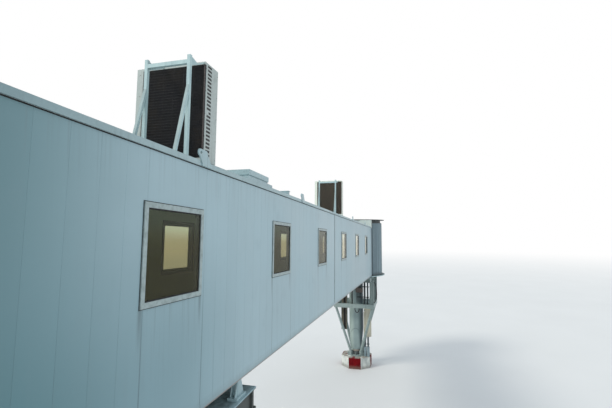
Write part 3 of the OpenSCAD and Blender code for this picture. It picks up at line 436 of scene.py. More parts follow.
def curtain_paint(name):
    """Curtain slats, each with a tone of its own, grime in the beads and rain streaks."""
    k = Look(name)
    x, y, z = k.xyz()
    turn = k.math("ABSOLUTE", k.math("ARCTAN2", y, x))
    slat = k.math("DIVIDE", k.math("SUBTRACT", turn, SLAT_0), SLAT_STEP)
    cloud = k.noise((3, 3, 0.7), 4, 0.6)
    colour = k.blend(cloud, lin(110, 132, 141), lin(130, 150, 157))
    colour = k.stain(colour, lin(84, 100, 104), k.patches((30, 30, 0.6), 0.48, 0.76, 4), 0.35)
    colour = k.shade(colour, k.ramp(k.number("1D", "W", k.math("FLOOR", slat)), 0, 1, 0.80, 1.13))
    colour = k.stain(colour, lin(84, 104, 106), k.ramp(turn, 1.95, 1.6), 0.4)
    colour = k.stain(colour, lin(62, 76, 82), k.ramp(k.math("PINGPONG", slat, 0.5), 0.02, 0.13, 0.7, 0.0))
    ragged = k.math("ADD", z, k.times(cloud, -0.25))
    colour = k.stain(colour, lin(66, 76, 78), k.ramp(ragged, 5.85, 6.05, 0.6, 0.0))
    return k.done(colour, 0.42, k.bump(k.noise(140, 2), 0.08, 0.0006))


def duct_look(name):
    """Open cable duct: painted outside, dusty inside, with the dark cables along its middle."""
    k = Look(name)
    x, y = k.xyz()[:2]
    cloud = k.patches((5, 5, 1.5), 0.35, 0.7)
    outside = k.blend(cloud, lin(140, 156, 154), lin(124, 140, 139))
    dusty = k.blend(cloud, lin(150, 142, 126), lin(128, 120, 106))
    inside = k.times(k.ramp(x, -0.399, -0.396), k.ramp(x, -0.259, -0.262),
                     k.ramp(k.off(y, 0.735), 0.185, 0.182))
    colour = k.blend(inside, outside, dusty)
    colour = k.stain(colour, lin(30, 29, 30), inside, k.ramp(k.off(y, 0.72), 0.088, 0.070))
    return k.done(colour, 0.6, k.bump(k.noise(40, 4, 0.6), 0.12, 0.002, k.round_edges(0.004)))


def pipe_look(name):
    """Pipes beside the column: painted steel, with pale lagging on their upper part."""
    k = Look(name)
    z = k.xyz()[2]
    cloud = k.patches((4, 4, 1.5), 0.35, 0.7)
    steel = k.blend(cloud, lin(128, 146, 152), lin(112, 130, 136))
    lagging = k.blend(cloud, lin(186, 183, 166), lin(168, 164, 146))
    turns = k.ramp(k.math("PINGPONG", k.math("DIVIDE", z, 0.30), 0.5), 0.0, 0.03, 0.35, 0.0)
    lagging = k.stain(lagging, lin(120, 116, 102), turns)
    colour = k.blend(k.times(k.ramp(z, 1.925, 1.932), k.ramp(z, 3.455, 3.448)), steel, lagging)
    colour = k.stain(colour, lin(54, 58, 60), k.ramp(z, 1.28, 1.30), k.ramp(z, 1.925, 1.90), 0.75)
    colour = k.stain(colour, lin(96, 98, 92), k.patches((24, 24, 0.7), 0.5, 0.76, 4), 0.25)
    return k.done(colour, 0.6, k.bump(k.noise(30, 5, 0.6), 0.15, 0.002, k.round_edges(0.004)))


def header_look(name):
    """Portal of the chamber: pale header panel above the walkway's roof, darker jambs below it."""
    k = Look(name)
    colour = k.blend(k.patches((1.5, 1.5, 2.5), 0.35, 0.7), lin(204, 213, 206), lin(188, 199, 194))
    colour = k.stain(colour, lin(128, 138, 136), k.patches((18, 18, 0.6), 0.5, 0.76, 4), 0.3)
    colour = k.stain(colour, lin(104, 124, 132), k.ramp(k.xyz()[2], HEADER_Z + 0.01, HEADER_Z - 0.01))
    return k.done(colour, 0.45, k.bump(k.noise(40, 4, 0.6), 0.1, 0.001, k.round_edges(0.004)))


def aluminium(name):
    """Anodised window section with faint drawing lines and dull patches, with painted shade making it dark inside
    the wall.
    """
    k = Look(name)
    dull = k.patches(14, 0.4, 0.7)
    colour = k.blend(dull, lin(162, 177, 177), lin(140, 154, 153))
    y = k.math("ABSOLUTE", k.xyz()[1])
    # Painted shade on the sleeve inside the wall's opening
    colour = k.stain(colour, lin(58, 66, 64), k.ramp(y, WALL_Y - 0.0015, WALL_Y - 0.0035))
    lines = k.bump(k.noise((3, 3, 420), 2), 0.08, 0.0004, k.round_edges(0.002))
    return k.done(colour, k.ramp(dull, 0, 1, 0.42, 0.56), lines, 0.1)


def tinted_glass(name):
    """Green-brown tinted panes with a film of dust, with painted light making them paler towards the head."""
    k = Look(name)
    haze = k.ramp(k.noise((7, 7, 3), 5, 0.6), 0.35, 0.75, 0.0, 0.05)
    # Painted light: the tint is paler towards the head, standing in for the bright sky seen in the panes
    tint = k.blend(k.ramp(k.height(), 1.95, 2.3), lin(197, 193, 166), lin(214, 219, 200))
    wave = k.bump(k.noise(1.7, 1, 0.4), 0.05, 0.004)
    return k.done(tint, haze, wave, IOR=1.09, Transmission_Weight=0.95)


def plain(name, colour, other, rough, scale, bump=0.2, metal=0.0):
    """A material with two close tones in fine noise, for small parts."""
    k = Look(name)
    n = k.noise(scale, 4, 0.6)
    tone = k.blend(k.ramp(n, 0.35, 0.65), colour, other)
    dull = k.ramp(n, 0.3, 0.7, rough * 0.85, rough * 1.15)
    return k.done(tone, dull, k.bump(n, bump, 0.001, k.round_edges(0.002)), metal)


def fin_look(name):
    """Coated coil fins: near black on the near cooler, brown on the far one, dustier in patches."""
    k = Look(name)
    far = k.ramp(k.xyz()[0], -14.0, -13.0)
    clean = k.blend(far, lin(47, 49, 54), lin(134, 124, 110))
    dusty = k.blend(far, lin(64, 60, 55), lin(150, 138, 120))
    fine = k.noise((90, 90, 30), 3, 0.6)
    colour = k.speckle(k.blend(k.patches((5, 2.2, 2.2), 0.42, 0.72, 5, 0.65), clean, dusty), fine, 0.8, 1.15)
    return k.done(colour, 0.62, k.bump(fine, 0.2, 0.001), 0.2)


def deck_look(name):
    """Studded rubber floor covering."""
    k = Look(name)
    studs = k.add("ShaderNodeTexVoronoi", feature="F1")
    k.fill(studs, Vector=k.scaled((32, 32, 0.001)), Scale=1.0, Randomness=0.0)
    top = k.ramp(studs.outputs["Distance"], 0.34, 0.26)
    colour = k.blend(k.patches(3, 0.4, 0.7), lin(66, 68, 70), lin(92, 92, 90))
    return k.done(colour, 0.7, k.bump(top, 0.6, 0.002))


def plinth_look(name):
    """Concrete plinths painted face by face in red and white, with bare chips along the edges."""
    k = Look(name)
    x, y, z = k.xyz()
    at_pier = k.math("LESS_THAN", x, PIER_X / 2)
    x = k.math("ABSOLUTE", k.math("ADD", x, k.times(at_pier, -PIER_X)))
    y = k.math("ABSOLUTE", y)
    wobble = k.times(k.math("SUBTRACT", k.noise(9, 3), 0.5), 0.02)
    square = k.math("ADD", k.math("MAXIMUM", x, y), wobble)
    red = k.math("GREATER_THAN", square, k.times(k.math("ADD", x, y), math.sqrt(0.5)))
    cloud = k.patches((5, 5, 2.5), 0.35, 0.7, 4, 0.5)
    white = k.blend(cloud, lin(214, 217, 210), lin(176, 182, 178))
    crimson = k.blend(cloud, lin(112, 5, 15), lin(90, 4, 13))
    colour = k.blend(red, white, crimson)
    colour = k.stain(colour, lin(96, 84, 74), k.patches((20, 20, 1.4), 0.54, 0.74, 4), 0.20)
    fine = k.noise(24, 6, 0.65)
    splashed = k.math("ADD", z, k.times(fine, -0.28))
    colour = k.stain(colour, lin(120, 112, 102), k.ramp(splashed, -0.08, 0.12, 0.5, 0.0))
    edge = k.dot(k.round_edges(0.03), k.normal())
    chips = k.times(k.ramp(edge, 0.99, 0.94), k.ramp(fine, 0.53, 0.59))
    worn = k.patches(13, 0.70, 0.74, 6, 0.7)
    top = k.times(k.ramp(z, 0.658, 0.676), k.patches(3, 0.38, 0.50, 5, 0.5))
    bare = k.math("MAXIMUM", k.math("MAXIMUM", chips, worn), top)
    colour = k.blend(bare, colour, k.blend(fine, lin(142, 138, 130), lin(168, 164, 154)))
    return k.done(colour, 0.78, k.bump(fine, 0.35, 0.004, k.round_edges(0.012)), Specular_IOR_Level=0.12)


def tube_look(name):
    """Column paint: chalky grey-green, with painted shade on one side and painted sunlight on the front of the
    other, a weld arch, a rusty ring and a dark neck.
    """
    k = Look(name)
    x, y, z = k.xyz()
    ragged = k.math("ADD", z, k.times(k.noise(14, 5), 0.05))
    colour = k.blend(k.patches((1.6, 1.6, 1.1), 0.32, 0.7), lin(128, 146, 146), lin(142, 160, 160))
    colour = k.stain(colour, lin(96, 104, 100), k.patches((24, 24, 0.7), 0.5, 0.76, 4), 0.34)
    fine = k.noise(40, 5, 0.65)
    colour = k.speckle(colour, fine, 0.95, 1.04)
    ring = k.times(k.ramp(ragged, 0.935, 0.965), k.ramp(ragged, 1.09, 1.03))
    colour = k.stain(colour, lin(150, 124, 104), ring, k.ramp(fine, 0.3, 0.55), 0.85)
    # Painted shade on the side towards -y, and painted sunlight on the front of the side towards +y
    colour = k.stain(colour, lin(50, 68, 78), k.ramp(y, -0.12, -0.44), 0.9)
    colour = k.stain(colour, lin(192, 208, 198), k.ramp(y, 0.02, 0.34), k.ramp(x, 0.2, -0.1), 0.85)
    arch = k.math("ADD", z, k.times(y, y, 3.0))
    colour = k.stain(colour, lin(82, 96, 100), k.ramp(k.off(arch, 2.43), 0.026, 0.008), 0.75)
    colour = k.stain(colour, lin(62, 66, 66), k.ramp(ragged, 0.975, 0.945), 0.85)
    colour = k.stain(colour, lin(120, 84, 60), k.patches((8, 8, 6), 0.68, 0.73, 6, 0.7), 0.5)
    return k.done(colour, k.ramp(fine, 0.3, 0.7, 0.5, 0.66), k.bump(fine, 0.12, 0.002, k.round_edges(0.006)))


M_WALL = wall_paint("wall planks")
M_ROOM = room_look("inner lining")
M_FASCIA = fascia_look("roof fascia")
M_GUARD = trim_with_dust_and_shade("guard paint", 0.75, lin(118, 132, 132))
# The chamber's base plate gets painted shade on its upward faces, under the chamber
M_BASE = trim_with_dust_and_shade("chamber base plate", 0.9, lin(80, 92, 96))
M_PLATE = plate_look("chamber roof plate")
M_CROSS = crosshead_look("crosshead")
M_CURTAIN = curtain_paint("curtain slats")
M_DUCT = duct_look("cable duct")
M_PIPE = pipe_look("lagged pipes")
M_HEAD = header_look("header panel")
M_ALU = aluminium("window section")
M_GLASS = tinted_glass("tinted glass")
M_FIN = fin_look("coil fins")
M_DECK = deck_look("floor covering")
M_PLINTH = plinth_look("plinth paint")
M_TUBE = tube_look("column paint")

# Paints: base, worn and dirt colours, roughness from and to, then streak, grime, edge and rust
M_TRIM = paint("light trim", lin(162, 186, 190), lin(150, 174, 179), lin(114, 130, 131),
               (0.36, 0.5), 0.4, 0.3, 0.004, 0.25)
M_ROOF = paint("roof sheet", lin(168, 182, 184), lin(150, 164, 166), lin(112, 116, 110),
               (0.42, 0.6), 0.1, 0.6, 0.003, 0.1)
M_JOINT = paint("joint cover", lin(122, 143, 150), lin(108, 130, 137), lin(84, 98, 102),
                (0.4, 0.55), 0.4, 0.3)
M_DARK = paint("dark steel", lin(74, 84, 86), lin(62, 72, 74), lin(48, 54, 54),
               (0.5, 0.64), 0.3, 0.4, 0.004, 0.3)
M_STEEL = paint("structural steel", lin(146, 161, 158), lin(132, 148, 146), lin(92, 99, 95),
                (0.5, 0.64), 0.45, 0.45, 0.005, 0.55)
M_COOLER = paint("cooler casing", lin(172, 182, 178), lin(158, 170, 168), lin(124, 130, 124),
                 (0.4, 0.55), 0.4, 0.35, 0.003, 0.15)
# The far cooler's casing is the near one's paint made much lighter: painted light that lifts it out of the shade
# it falls in
M_COOLER_B = paint("far cooler casing", lin(234, 239, 226), lin(220, 227, 214), lin(140, 142, 128),
                   (0.4, 0.55), 0.4, 0.35, 0.003, 0.15)
M_BOX = paint("junction box", lin(96, 84, 78), lin(84, 76, 72), lin(58, 50, 46),
              (0.45, 0.6), 0.4, 0.4, 0.004, 0.4)
M_LAG = paint("lagging cloth", lin(196, 192, 174), lin(176, 171, 152), lin(118, 112, 96),
              (0.8, 0.9), 0.35, 0.4)

# Small parts: two tones and roughness, then the noise's scale, bump and metal
M_COPPER = plain("coil tubes", lin(40, 38, 38), lin(30, 29, 30), 0.55, 60, 0.2, 0.4)
M_END = plain("coil end plate", lin(74, 66, 66), lin(56, 50, 50), 0.55, 60, 0.2, 0.3)
M_WIRE = plain("coated wire", lin(60, 62, 64), lin(46, 48, 50), 0.5, 60, 0.1, 0.3)
M_BLACK = plain("black plastic", lin(30, 31, 33), lin(42, 43, 45), 0.5, 50, 0.15)
M_RUBBER = plain("rubber seal", lin(26, 27, 28), lin(38, 38, 38), 0.7, 60)
M_SEAL = plain("grey sealant", lin(62, 72, 74), lin(48, 56, 58), 0.7, 50)
M_CABLE = plain("cable sheath", lin(28, 28, 30), lin(44, 44, 46), 0.55, 30, 0.15)
M_ZINC = plain("zinc fastener", lin(158, 162, 162), lin(118, 116, 110), 0.45, 80, 0.3, 0.7)
M_NUT = plain("weathered nuts", lin(58, 56, 54), lin(82, 68, 58), 0.6, 60, 0.3, 0.4)

NODE_LOOKS = {
    M_WALL: ["foot_trims"],
    M_ROOF: ["roof_a", "roof_b"],
    M_FASCIA: ["roof_fascias"],
    M_JOINT: ["section_joint"],
    M_ALU: ["window_frames"],
    M_GLASS: ["window_glass"],
    M_DECK: ["floor_deck", "chamber_floor"],
    M_COOLER: ["cooler_a_casing"],
    M_COOLER_B: ["cooler_b_casing"],
    M_BLACK: ["cooler_a_fans", "cooler_b_fans"],
    M_GUARD: ["cooler_a_guard", "cooler_b_guard"],
    M_TRIM: ["roof_boxes", "lifting_lugs", "walkway_bearings"],
    M_HEAD: ["entry_frame"],
    M_BASE: ["chamber_base"],
    M_PLATE: ["chamber_roof"],
    M_DARK: ["curtain_tracks"],
    M_CURTAIN: ["curtain_right", "curtain_left"],
    M_STEEL: ["floor_channels", "floor_joists", "terminal_frame", "outlet_frame", "chamber_bearers",
              "column_frame", "column_braces", "base_flanges", "pier_braces"],
    M_TUBE: ["column_tube", "pier_tube"],
    M_CROSS: ["pier_crosshead"],
    M_PLINTH: ["plinths"],
    M_DUCT: ["cable_duct"],
    M_PIPE: ["column_pipes"],
    M_CABLE: ["hanging_cables"],
}
for look, names in NODE_LOOKS.items():
    for name in names:
        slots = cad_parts[name].data.materials
        slots.clear()
        slots.append(look)


# ---------------------------------------------------------------- meshes

class Shape:
    """Collects solids in one place's own frame and makes one mesh of them."""

    def __init__(self, place=lambda *point: Vector(point)):
        self.place = place
        self.verts = []
        self.faces = []

    def solid(self, points, faces):
        base = len(self.verts)
        self.verts += [self.place(*p) for p in points]
        self.faces += [tuple(base + i for i in f) for f in faces]

    def box(self, lo, hi):
        (a, b, c), (d, e, f) = lo, hi
        self.solid([(x, y, z) for x in (a, d) for y in (b, e) for z in (c, f)],
                   [(0, 1, 3, 2), (4, 6, 7, 5), (0, 4, 5, 1), (2, 3, 7, 6), (0, 2, 6, 4), (1, 5, 7, 3)])

    def skin(self, rings):
        """Joins rings with the same number of points, and closes the first and the last."""
        n, last = len(rings[0]), len(rings) - 1
        faces = [(i * n + k, i * n + (k + 1) % n, (i + 1) * n + (k + 1) % n, (i + 1) * n + k)
                 for i in range(last) for k in range(n)]
        caps = [tuple(range(n - 1, -1, -1)), tuple(range(last * n, (last + 1) * n))]
        self.solid([point for ring in rings for point in ring], faces + caps)

    def lathe(self, centre, axis, profile, sides=12):
        """Revolves (radius, along) pairs round an axis given as a letter with a sign."""
        sign = -1 if axis[0] == "-" else 1
        u, v, w = {"x": (1, 2, 0), "y": (2, 0, 1), "z": (0, 1, 2)}[axis[-1]]
        rings = []
        for radius, along in profile:
            ring = []
            for k in range(sides):
                turn = 2 * math.pi * k / sides
                point = list(centre)
                point[u] += radius * math.cos(turn)
                point[v] += radius * math.sin(turn)
                point[w] += sign * along
                ring.append(tuple(point))
            rings.append(ring)
        self.skin(rings)

    def rod(self, foot, axis, radius, length, sides):
        self.lathe(foot, axis, [(radius, 0), (radius, length)], sides)

    def nut(self, centre, axis, r, h):
        """A washer with a chamfered nut on it."""
        self.lathe(centre, axis, [(r * 1.45, 0), (r * 1.45, h * 0.14), (r * 1.02, h * 0.15),
                                  (r * 1.02, h * 0.86), (r * 0.86, h)], 6)

    def screw(self, centre, axis, r=0.007, h=0.004):
        """A domed screw head."""
        self.lathe(centre, axis, [(r, 0), (r * 0.94, h * 0.5), (r * 0.55, h)], 8)

    def make(self, name, look, slot=None, replaces=(), bevel=0.0, smooth=False, inner=None):
        me = bpy.data.meshes.new(name)
        me.from_pydata([tuple(p) for p in self.verts], [], self.faces)
        bm = bmesh.new()
        bm.from_mesh(me)
        bmesh.ops.recalc_face_normals(bm, faces=bm.faces)
        bm.to_mesh(me)
        bm.free()
        me.materials.append(look)
        if inner is not None:
            me.materials.append(inner)
        if smooth:
            me.polygons.foreach_set("use_smooth", [True] * len(me.polygons))
        o = bpy.data.objects.new(name, me)
        bpy.context.collection.objects.link(o)
        if bevel:
            m = o.modifiers.new("edges", "BEVEL")
            m.width, m.segments, m.limit_method, m.angle_limit = bevel, 2, "ANGLE", math.radians(40)
        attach(o, "root")
        if replaces:
            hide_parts(*replaces)
        return o


# ---------------------------------------------------------------- walls with planks

GROOVE_W, GROOVE_D = 0.004, 0.0014
SEAM_CLEAR = 0.08                   # no seam nearer than this to a section's end


def seam_places(x_lo, x_hi):
    """Places of the seams: both sides of each window's panel and the planks between the panels."""
    places = []
    for i in range(-1, 8):
        start = PANEL_0 + PITCH * i
        places += [start, start + PANEL] + [start + PANEL + PLANK * j for j in range(1, PLANKS)]
    return [x for x in places if x_lo + SEAM_CLEAR < x < x_hi - SEAM_CLEAR]


def wall(name, node, side, lo, hi):
    """One wall section: planks with grooved seams, windows cut through, closed all round.

    lo and hi are its ends: "start" and "end" for the walkway's plumb ends, or a place along it."""

    def x_at(place, z):
        return plumb({"start": START_X, "end": END_X}[place], z) if isinstance(place, str) else place

    # Columns of points across the wall: a place, and how deep the outer face is cut there
    x_lo, x_hi, half = x_at(lo, 0), x_at(hi, 0), HOLE_W / 2
    windows = [c for c in WINDOWS if x_lo < c - half and c + half < x_hi]
    edges = [c + s * half for c in windows for s in (-1, 1)]
    cols = [(place, 0.0) for place in [lo, hi] + edges]
    for x in seam_places(x_lo, x_hi):
        if all(abs(x - e) > GROOVE_W for e in edges):
            cols += [(x - GROOVE_W / 2, 0.0), (x, GROOVE_D), (x + GROOVE_W / 2, 0.0)]
    cols.sort(key=lambda col: x_at(col[0], 0))
    rows = (0.0, HOLE_LO, HOLE_HI, WALL_H)
    points = [(x_at(place, z), side * y, z)
              for place, cut in cols for z in rows for y in (WALL_Y - cut, INNER_Y)]

    def outer(i, j):
        """Number of the outer point in column i and row j. The inner one is the next."""
        return 2 * (len(rows) * i + j)

    faces, lining = [], []

    def across(a, b):
        """A face through the wall's thickness, between two outer points and the two inner ones."""
        faces.append((a, b, b + 1, a + 1))

    n = len(cols) - 1
    mids = [(x_at(cols[i][0], 0) + x_at(cols[i + 1][0], 0)) / 2 for i in range(n)]
    holes = {i for i in range(n) if any(abs(mids[i] - c) < half for c in windows)}
    for i in range(n):
        for j in range(3):
            if j != 1 or i not in holes:
                quad = (outer(i, j), outer(i + 1, j), outer(i + 1, j + 1), outer(i, j + 1))
                faces.append(quad)
                lining.append(tuple(p + 1 for p in quad))
        for j in (0, 1, 2, 3) if i in holes else (0, 3):
            across(outer(i, j), outer(i + 1, j))
        if i > 0 and (i in holes) != (i - 1 in holes):
            across(outer(i, 1), outer(i, 2))
    for i in (0, n):
        for j in range(3):
            across(outer(i, j), outer(i, j + 1))

    shape = Shape(walk)
    shape.solid(points, faces + lining)
    o = shape.make(name, M_WALL, "wall_paint", (node,), inner=M_ROOM)
    for p in o.data.polygons[len(faces):]:
        p.material_index = 1


for side, word in ((-1, "right"), (1, "left")):
    wall(f"planks_{word}_a", f"wall_{word}_a", side, "start", JOINT)
    wall(f"planks_{word}_b", f"wall_{word}_b", side, JOINT, "end")


def window_rings(name, look, half, lo, hi, bar, y0, y1, bevel=0.0):
    """A ring of four flat bars at each window: its outer edges, the bars' width, and y from and to."""
    ring = Shape(walk)
    for c in WINDOWS:
        for s in (-1, 1):
            for x0, x1, z0, z1 in ((-half, bar - half, lo, hi), (half - bar, half, lo, hi),
                                   (bar - half, half - bar, lo, lo + bar),
                                   (bar - half, half - bar, hi - bar, hi)):
                ring.box((c + x0, s * y0, z0), (c + x1, s * y1, z1))
    ring.make(name, look, bevel=bevel)


GASKET, SEALANT = 0.015, 0.010
TRIM_BAR, TRIM_HALF, TRIM_LO, TRIM_HI = 0.075, 0.585, 1.335, 2.435     # trims on the walls' inner faces
window_rings("window_gaskets", M_RUBBER, LIGHT_W / 2, LIGHT_LO, LIGHT_HI, GASKET, WALL_Y, WALL_Y + 0.006)
window_rings("window_sealant", M_SEAL, FRAME_W / 2 + SEALANT, FRAME_LO - SEALANT, FRAME_HI + SEALANT, SEALANT,
             WALL_Y - 0.001, WALL_Y + 0.004)
window_rings("inner_window_trims", M_SEAL, TRIM_HALF, TRIM_LO, TRIM_HI, TRIM_BAR, INNER_Y, INNER_Y - 0.012, 0.003)


# ---------------------------------------------------------------- coolers

FINS, FIN_T, FIN_LEAN = 124, 0.0015, 0.0012
FIN_X0, FIN_X1 = 0.006, 0.029
BACKING_X0, BACKING_X1 = 0.0285, 0.0299
PLATE_X0, PLATE_X1 = 0.0005, 0.0055
COIL_Y0 = 0.003
TUBE_X, TUBE_R, TUBE_PITCH = 0.018, 0.0052, 0.0254
WIRE_R, WIRE_PITCH, UPRIGHT_WIRES = 0.0018, 0.038, 7
LEVEL_WIRE_X, UPRIGHT_WIRE_X = 0.003, 0.0052
SLOT_SHADE_STRIP, SLOT_CLEAR = 0.003, 0.0005     # painted shade strips above and below each louvre slot, and play round its back
TOP_SCREW_SINK = 0.0034             # keeps the top screws inside the model's height


def cooler(tag, cooler_x):
    """What is fine on one cooler. x goes in from its face, y across it and z up from the roof."""
    def place(x, y, z):
        return walk(cooler_x + x, COOLER_Y + y, ROOF_H + z)

    fins = Shape(place)
    for i in range(FINS):
        y = 0.004 + (COIL_W - 0.006) * i / (FINS - 1)
        lean = random.uniform(-FIN_LEAN, FIN_LEAN)
        outline = ((FIN_X0, y + lean), (FIN_X1, y), (FIN_X1, y + FIN_T), (FIN_X0, y + FIN_T + lean))
        fins.skin([[(*corner, z) for corner in outline] for z in (COIL_LO, COIL_HI)])
    fins.box((BACKING_X0, COIL_Y0, COIL_LO), (BACKING_X1, COIL_W, COIL_HI))
    fins.make(f"cooler_{tag}_fins", M_FIN, "coil_fins", (f"cooler_{tag}_coil",))

    tubes = Shape(place)
    for z in steps(COIL_LO + 0.02, COIL_HI - 0.01, TUBE_PITCH):
        tubes.rod((TUBE_X, COIL_Y0, z), "y", TUBE_R, COIL_W - COIL_Y0, 6)
    tubes.make(f"cooler_{tag}_tubes", M_COPPER, "coil_fins", smooth=True)

    wires = Shape(place)
    for z in steps(COIL_LO + 0.019, COIL_HI, WIRE_PITCH):
        wires.rod((LEVEL_WIRE_X, COIL_Y0, z), "y", WIRE_R, COIL_W - 0.004, 5)
    for i in range(UPRIGHT_WIRES):
        y = 0.02 + (COIL_W - 0.04) * i / (UPRIGHT_WIRES - 1)
        wires.rod((UPRIGHT_WIRE_X, y, COIL_LO), "z", WIRE_R, COIL_HI - COIL_LO, 5)
    wires.make(f"cooler_{tag}_wire_guard", M_WIRE, smooth=True)

    # End plates of the coil, seen beside the casing's corners
    plates = Shape(place)
    for y0, y1 in ((0.0022, 0.014), (COIL_W - 0.012, COIL_W)):
        plates.box((PLATE_X0, y0, COIL_LO), (PLATE_X1, y1, COIL_HI))
    plates.make(f"cooler_{tag}_end_plates", M_END, bevel=0.001)

    # Painted shade: dark sheets behind the louvre slots, standing in for the shaded inside, and dark strips above
    # and below each slot, standing in for the louvres' shadow
    slot_shade_sheets = Shape(place)
    for i in range(SLOTS):
        z = RAIL_H + COOLER_H - 0.025 - SLOT_T - i * SLOT_PITCH
        x0, x1 = SLOT_IN + (SLOT_D / 2 if i in HALF_SLOTS else 0.0), SLOT_IN + SLOT_D
        slot_shade_sheets.box((x0 + SLOT_CLEAR, 0.004, z + SLOT_CLEAR), (x1 - SLOT_CLEAR, 0.0249, z + SLOT_T - SLOT_CLEAR))
        for edge in (z - SLOT_SHADE_STRIP, z + SLOT_T):
            slot_shade_sheets.box((x0, -0.0008, edge), (x1, 0.0004, edge + SLOT_SHADE_STRIP))
    slot_shade_sheets.make(f"cooler_{tag}_slot_shade", M_BLACK)

    # Screws along the casing's edges
    screws = Shape(place)
    for z in (0.1, 0.36, 0.66, 0.96, 1.26):
        for x in (0.03, 0.32):
            screws.screw((x, 0.0, z), "-y")
            screws.screw((x, COOLER_W, z), "y")
        for y in (0.02, COOLER_W - 0.02):
            screws.screw((COOLER_D, y, z), "x")
        screws.screw((0.0, COOLER_W - 0.05, z), "-x")
    for x in (0.03, 0.175, 0.32):
        for y in (0.03, 0.35, 0.68, 1.0):
            screws.screw((x, y, RAIL_H + COOLER_H - TOP_SCREW_SINK), "z")
    screws.make(f"cooler_{tag}_screws", M_ZINC, smooth=True)


for tag, cooler_x in COOLERS.items():
    cooler(tag, cooler_x)


# ---------------------------------------------------------------- roof, fascia and foot

# Laps of the roof sheets, left out under coolers and boxes and at the joint
KEEP_CLEAR = [(x - 1.0, x + 0.42) for x in COOLERS.values()] + [HOOD, SMALL_BOX, (JOINT - 0.12, JOINT + 0.12)]
LAP_W, LAP_Y, LAP_T = 0.03, 1.145, 0.012
laps = Shape(walk)
for x in steps(-23.1, -0.4, 0.9):
    if not any(lo < x < hi for lo, hi in KEEP_CLEAR):
        laps.box((x - LAP_W / 2, -LAP_Y, ROOF_H), (x + LAP_W / 2, LAP_Y, ROOF_H + LAP_T))
laps.make("roof_lap_seams", M_ROOF, "trim_paint", bevel=0.003)

# Screws along the tops of the fascias
FASCIA_MID, FASCIA_TOP = 1.19, 3.003
screws = Shape(walk)
for x in steps(-23.0, 0.1, 0.6):
    for s in (-1, 1):
        screws.screw((x, s * FASCIA_MID, FASCIA_TOP), "z", 0.006)
screws.make("fascia_screws", M_TRIM, smooth=True)

# Painted fillets of sealant on the foot trims, as (y, z) corners
FILLET = ((1.199, 0.054), (1.2079, 0.054), (1.2079, 0.055), (1.2, 0.085), (1.199, 0.085))
fillet = Shape(walk)
for s in (-1, 1):
    for ends in ((TRIM_START, JOINT - 0.04), (JOINT + 0.04, TRIM_END)):
        fillet.skin([[(x, s * y, z) for y, z in FILLET] for x in ends])
fillet.make("foot_fillets", M_WALL)

# Painted shade: a black strip in the gap between the wall and the fascia, standing in for the gap's shadow, on a
# painted bead
seal_and_gap_shade, bead = Shape(walk), Shape(walk)
for s in (-1, 1):
    for x0, x1 in ((TRIM_START, JOINT - 0.03), (JOINT + 0.03, TRIM_END)):
        seal_and_gap_shade.box((x0, s * 1.195, 2.9275), (x1, s * 1.203, 2.9377))
        bead.box((x0, s * 1.195, 2.9203), (x1, s * WALL_Y, 2.9272))
seal_and_gap_shade.make("fascia_gap_shade", M_RUBBER)
bead.make("fascia_beads", M_WALL)


# ---------------------------------------------------------------- chamber and column

# Bulb seals between the portals and the curtain's edges
BULB_X, BULB_Y, BULB_R = (-1.180, 1.1265), 1.2095, 0.0165
bulbs = Shape()
for s in (-1, 1):
    for x in BULB_X:
        bulbs.rod((x, s * BULB_Y, CURTAIN_LO), "z", BULB_R, CURTAIN_H, 12)
bulbs.make("curtain_seals", M_SEAL, smooth=True)

# Nuts on the anchor studs of both base flanges
NUT_R, NUT_H, STUD_END = 0.026, 0.034, [(0.013, 0.03), (0.013, 0.062), (0.010, 0.066)]
nuts = Shape()
for cx in (0.0, PIER_X):
    for i in range(STUDS):
        turn = 2 * math.pi * i / STUDS
        at = (cx + STUD_RING * math.cos(turn), STUD_RING * math.sin(turn), FLANGE_TOP)
        nuts.nut(at, "z", NUT_R, NUT_H)
        nuts.lathe(at, "z", STUD_END, 10)
nuts.make("anchor_nuts", M_NUT)

# Brackets that hold the upright pipes to the tube: a back strip, a side strip and two fingers
BRACKET_H = 0.05
brackets = Shape()
for z in (4.42, 5.08):
    for x0, x1, y0, y1 in ((-0.462, -0.450, -0.90, -0.12), (-0.450, -0.262, -0.90, -0.893),
                           (-0.450, -0.30, -0.710, -0.700), (-0.450, -0.30, -0.517, -0.507)):
        brackets.box((x0, y0, z), (x1, y1, z + BRACKET_H))
brackets.make("pipe_brackets", M_DARK, bevel=0.002)

# Lagging wrapped round both pipes, drawn in where it is tied with wire and at its ends
LAG_LO, LAG_RINGS, LAG_STEP, LAG_SIDES = 1.92, 77, 0.025, 20
LAG_X, LAG_Y, LAG_RX, LAG_RY = -0.353, -0.775, 0.108, 0.24
TIE_PITCH, TIE_HALF = 0.32, 0.02
TIE_DEPTH, END_DEPTH = 0.05, 0.25                   # how far it is drawn in, as shares of its girth
turns = [2 * math.pi * k / LAG_SIDES for k in range(LAG_SIDES)]
rings = []
for i in range(LAG_RINGS):
    z = LAG_LO + LAG_STEP * i
    from_tie = TIE_PITCH / 2 - abs((z - LAG_LO) % TIE_PITCH - TIE_PITCH / 2)
    at_end = i in (0, LAG_RINGS - 1)
    girth = 1.0 - TIE_DEPTH * max(0.0, 1 - from_tie / TIE_HALF) - (END_DEPTH if at_end else 0.0)
    rx, ry = LAG_RX * girth, LAG_RY * girth
    rings.append([(LAG_X + rx * math.cos(a), LAG_Y + ry * math.sin(a), z) for a in turns])
lagging = Shape()
lagging.skin(rings)
lagging.make("pipe_lagging", M_LAG, smooth=True)

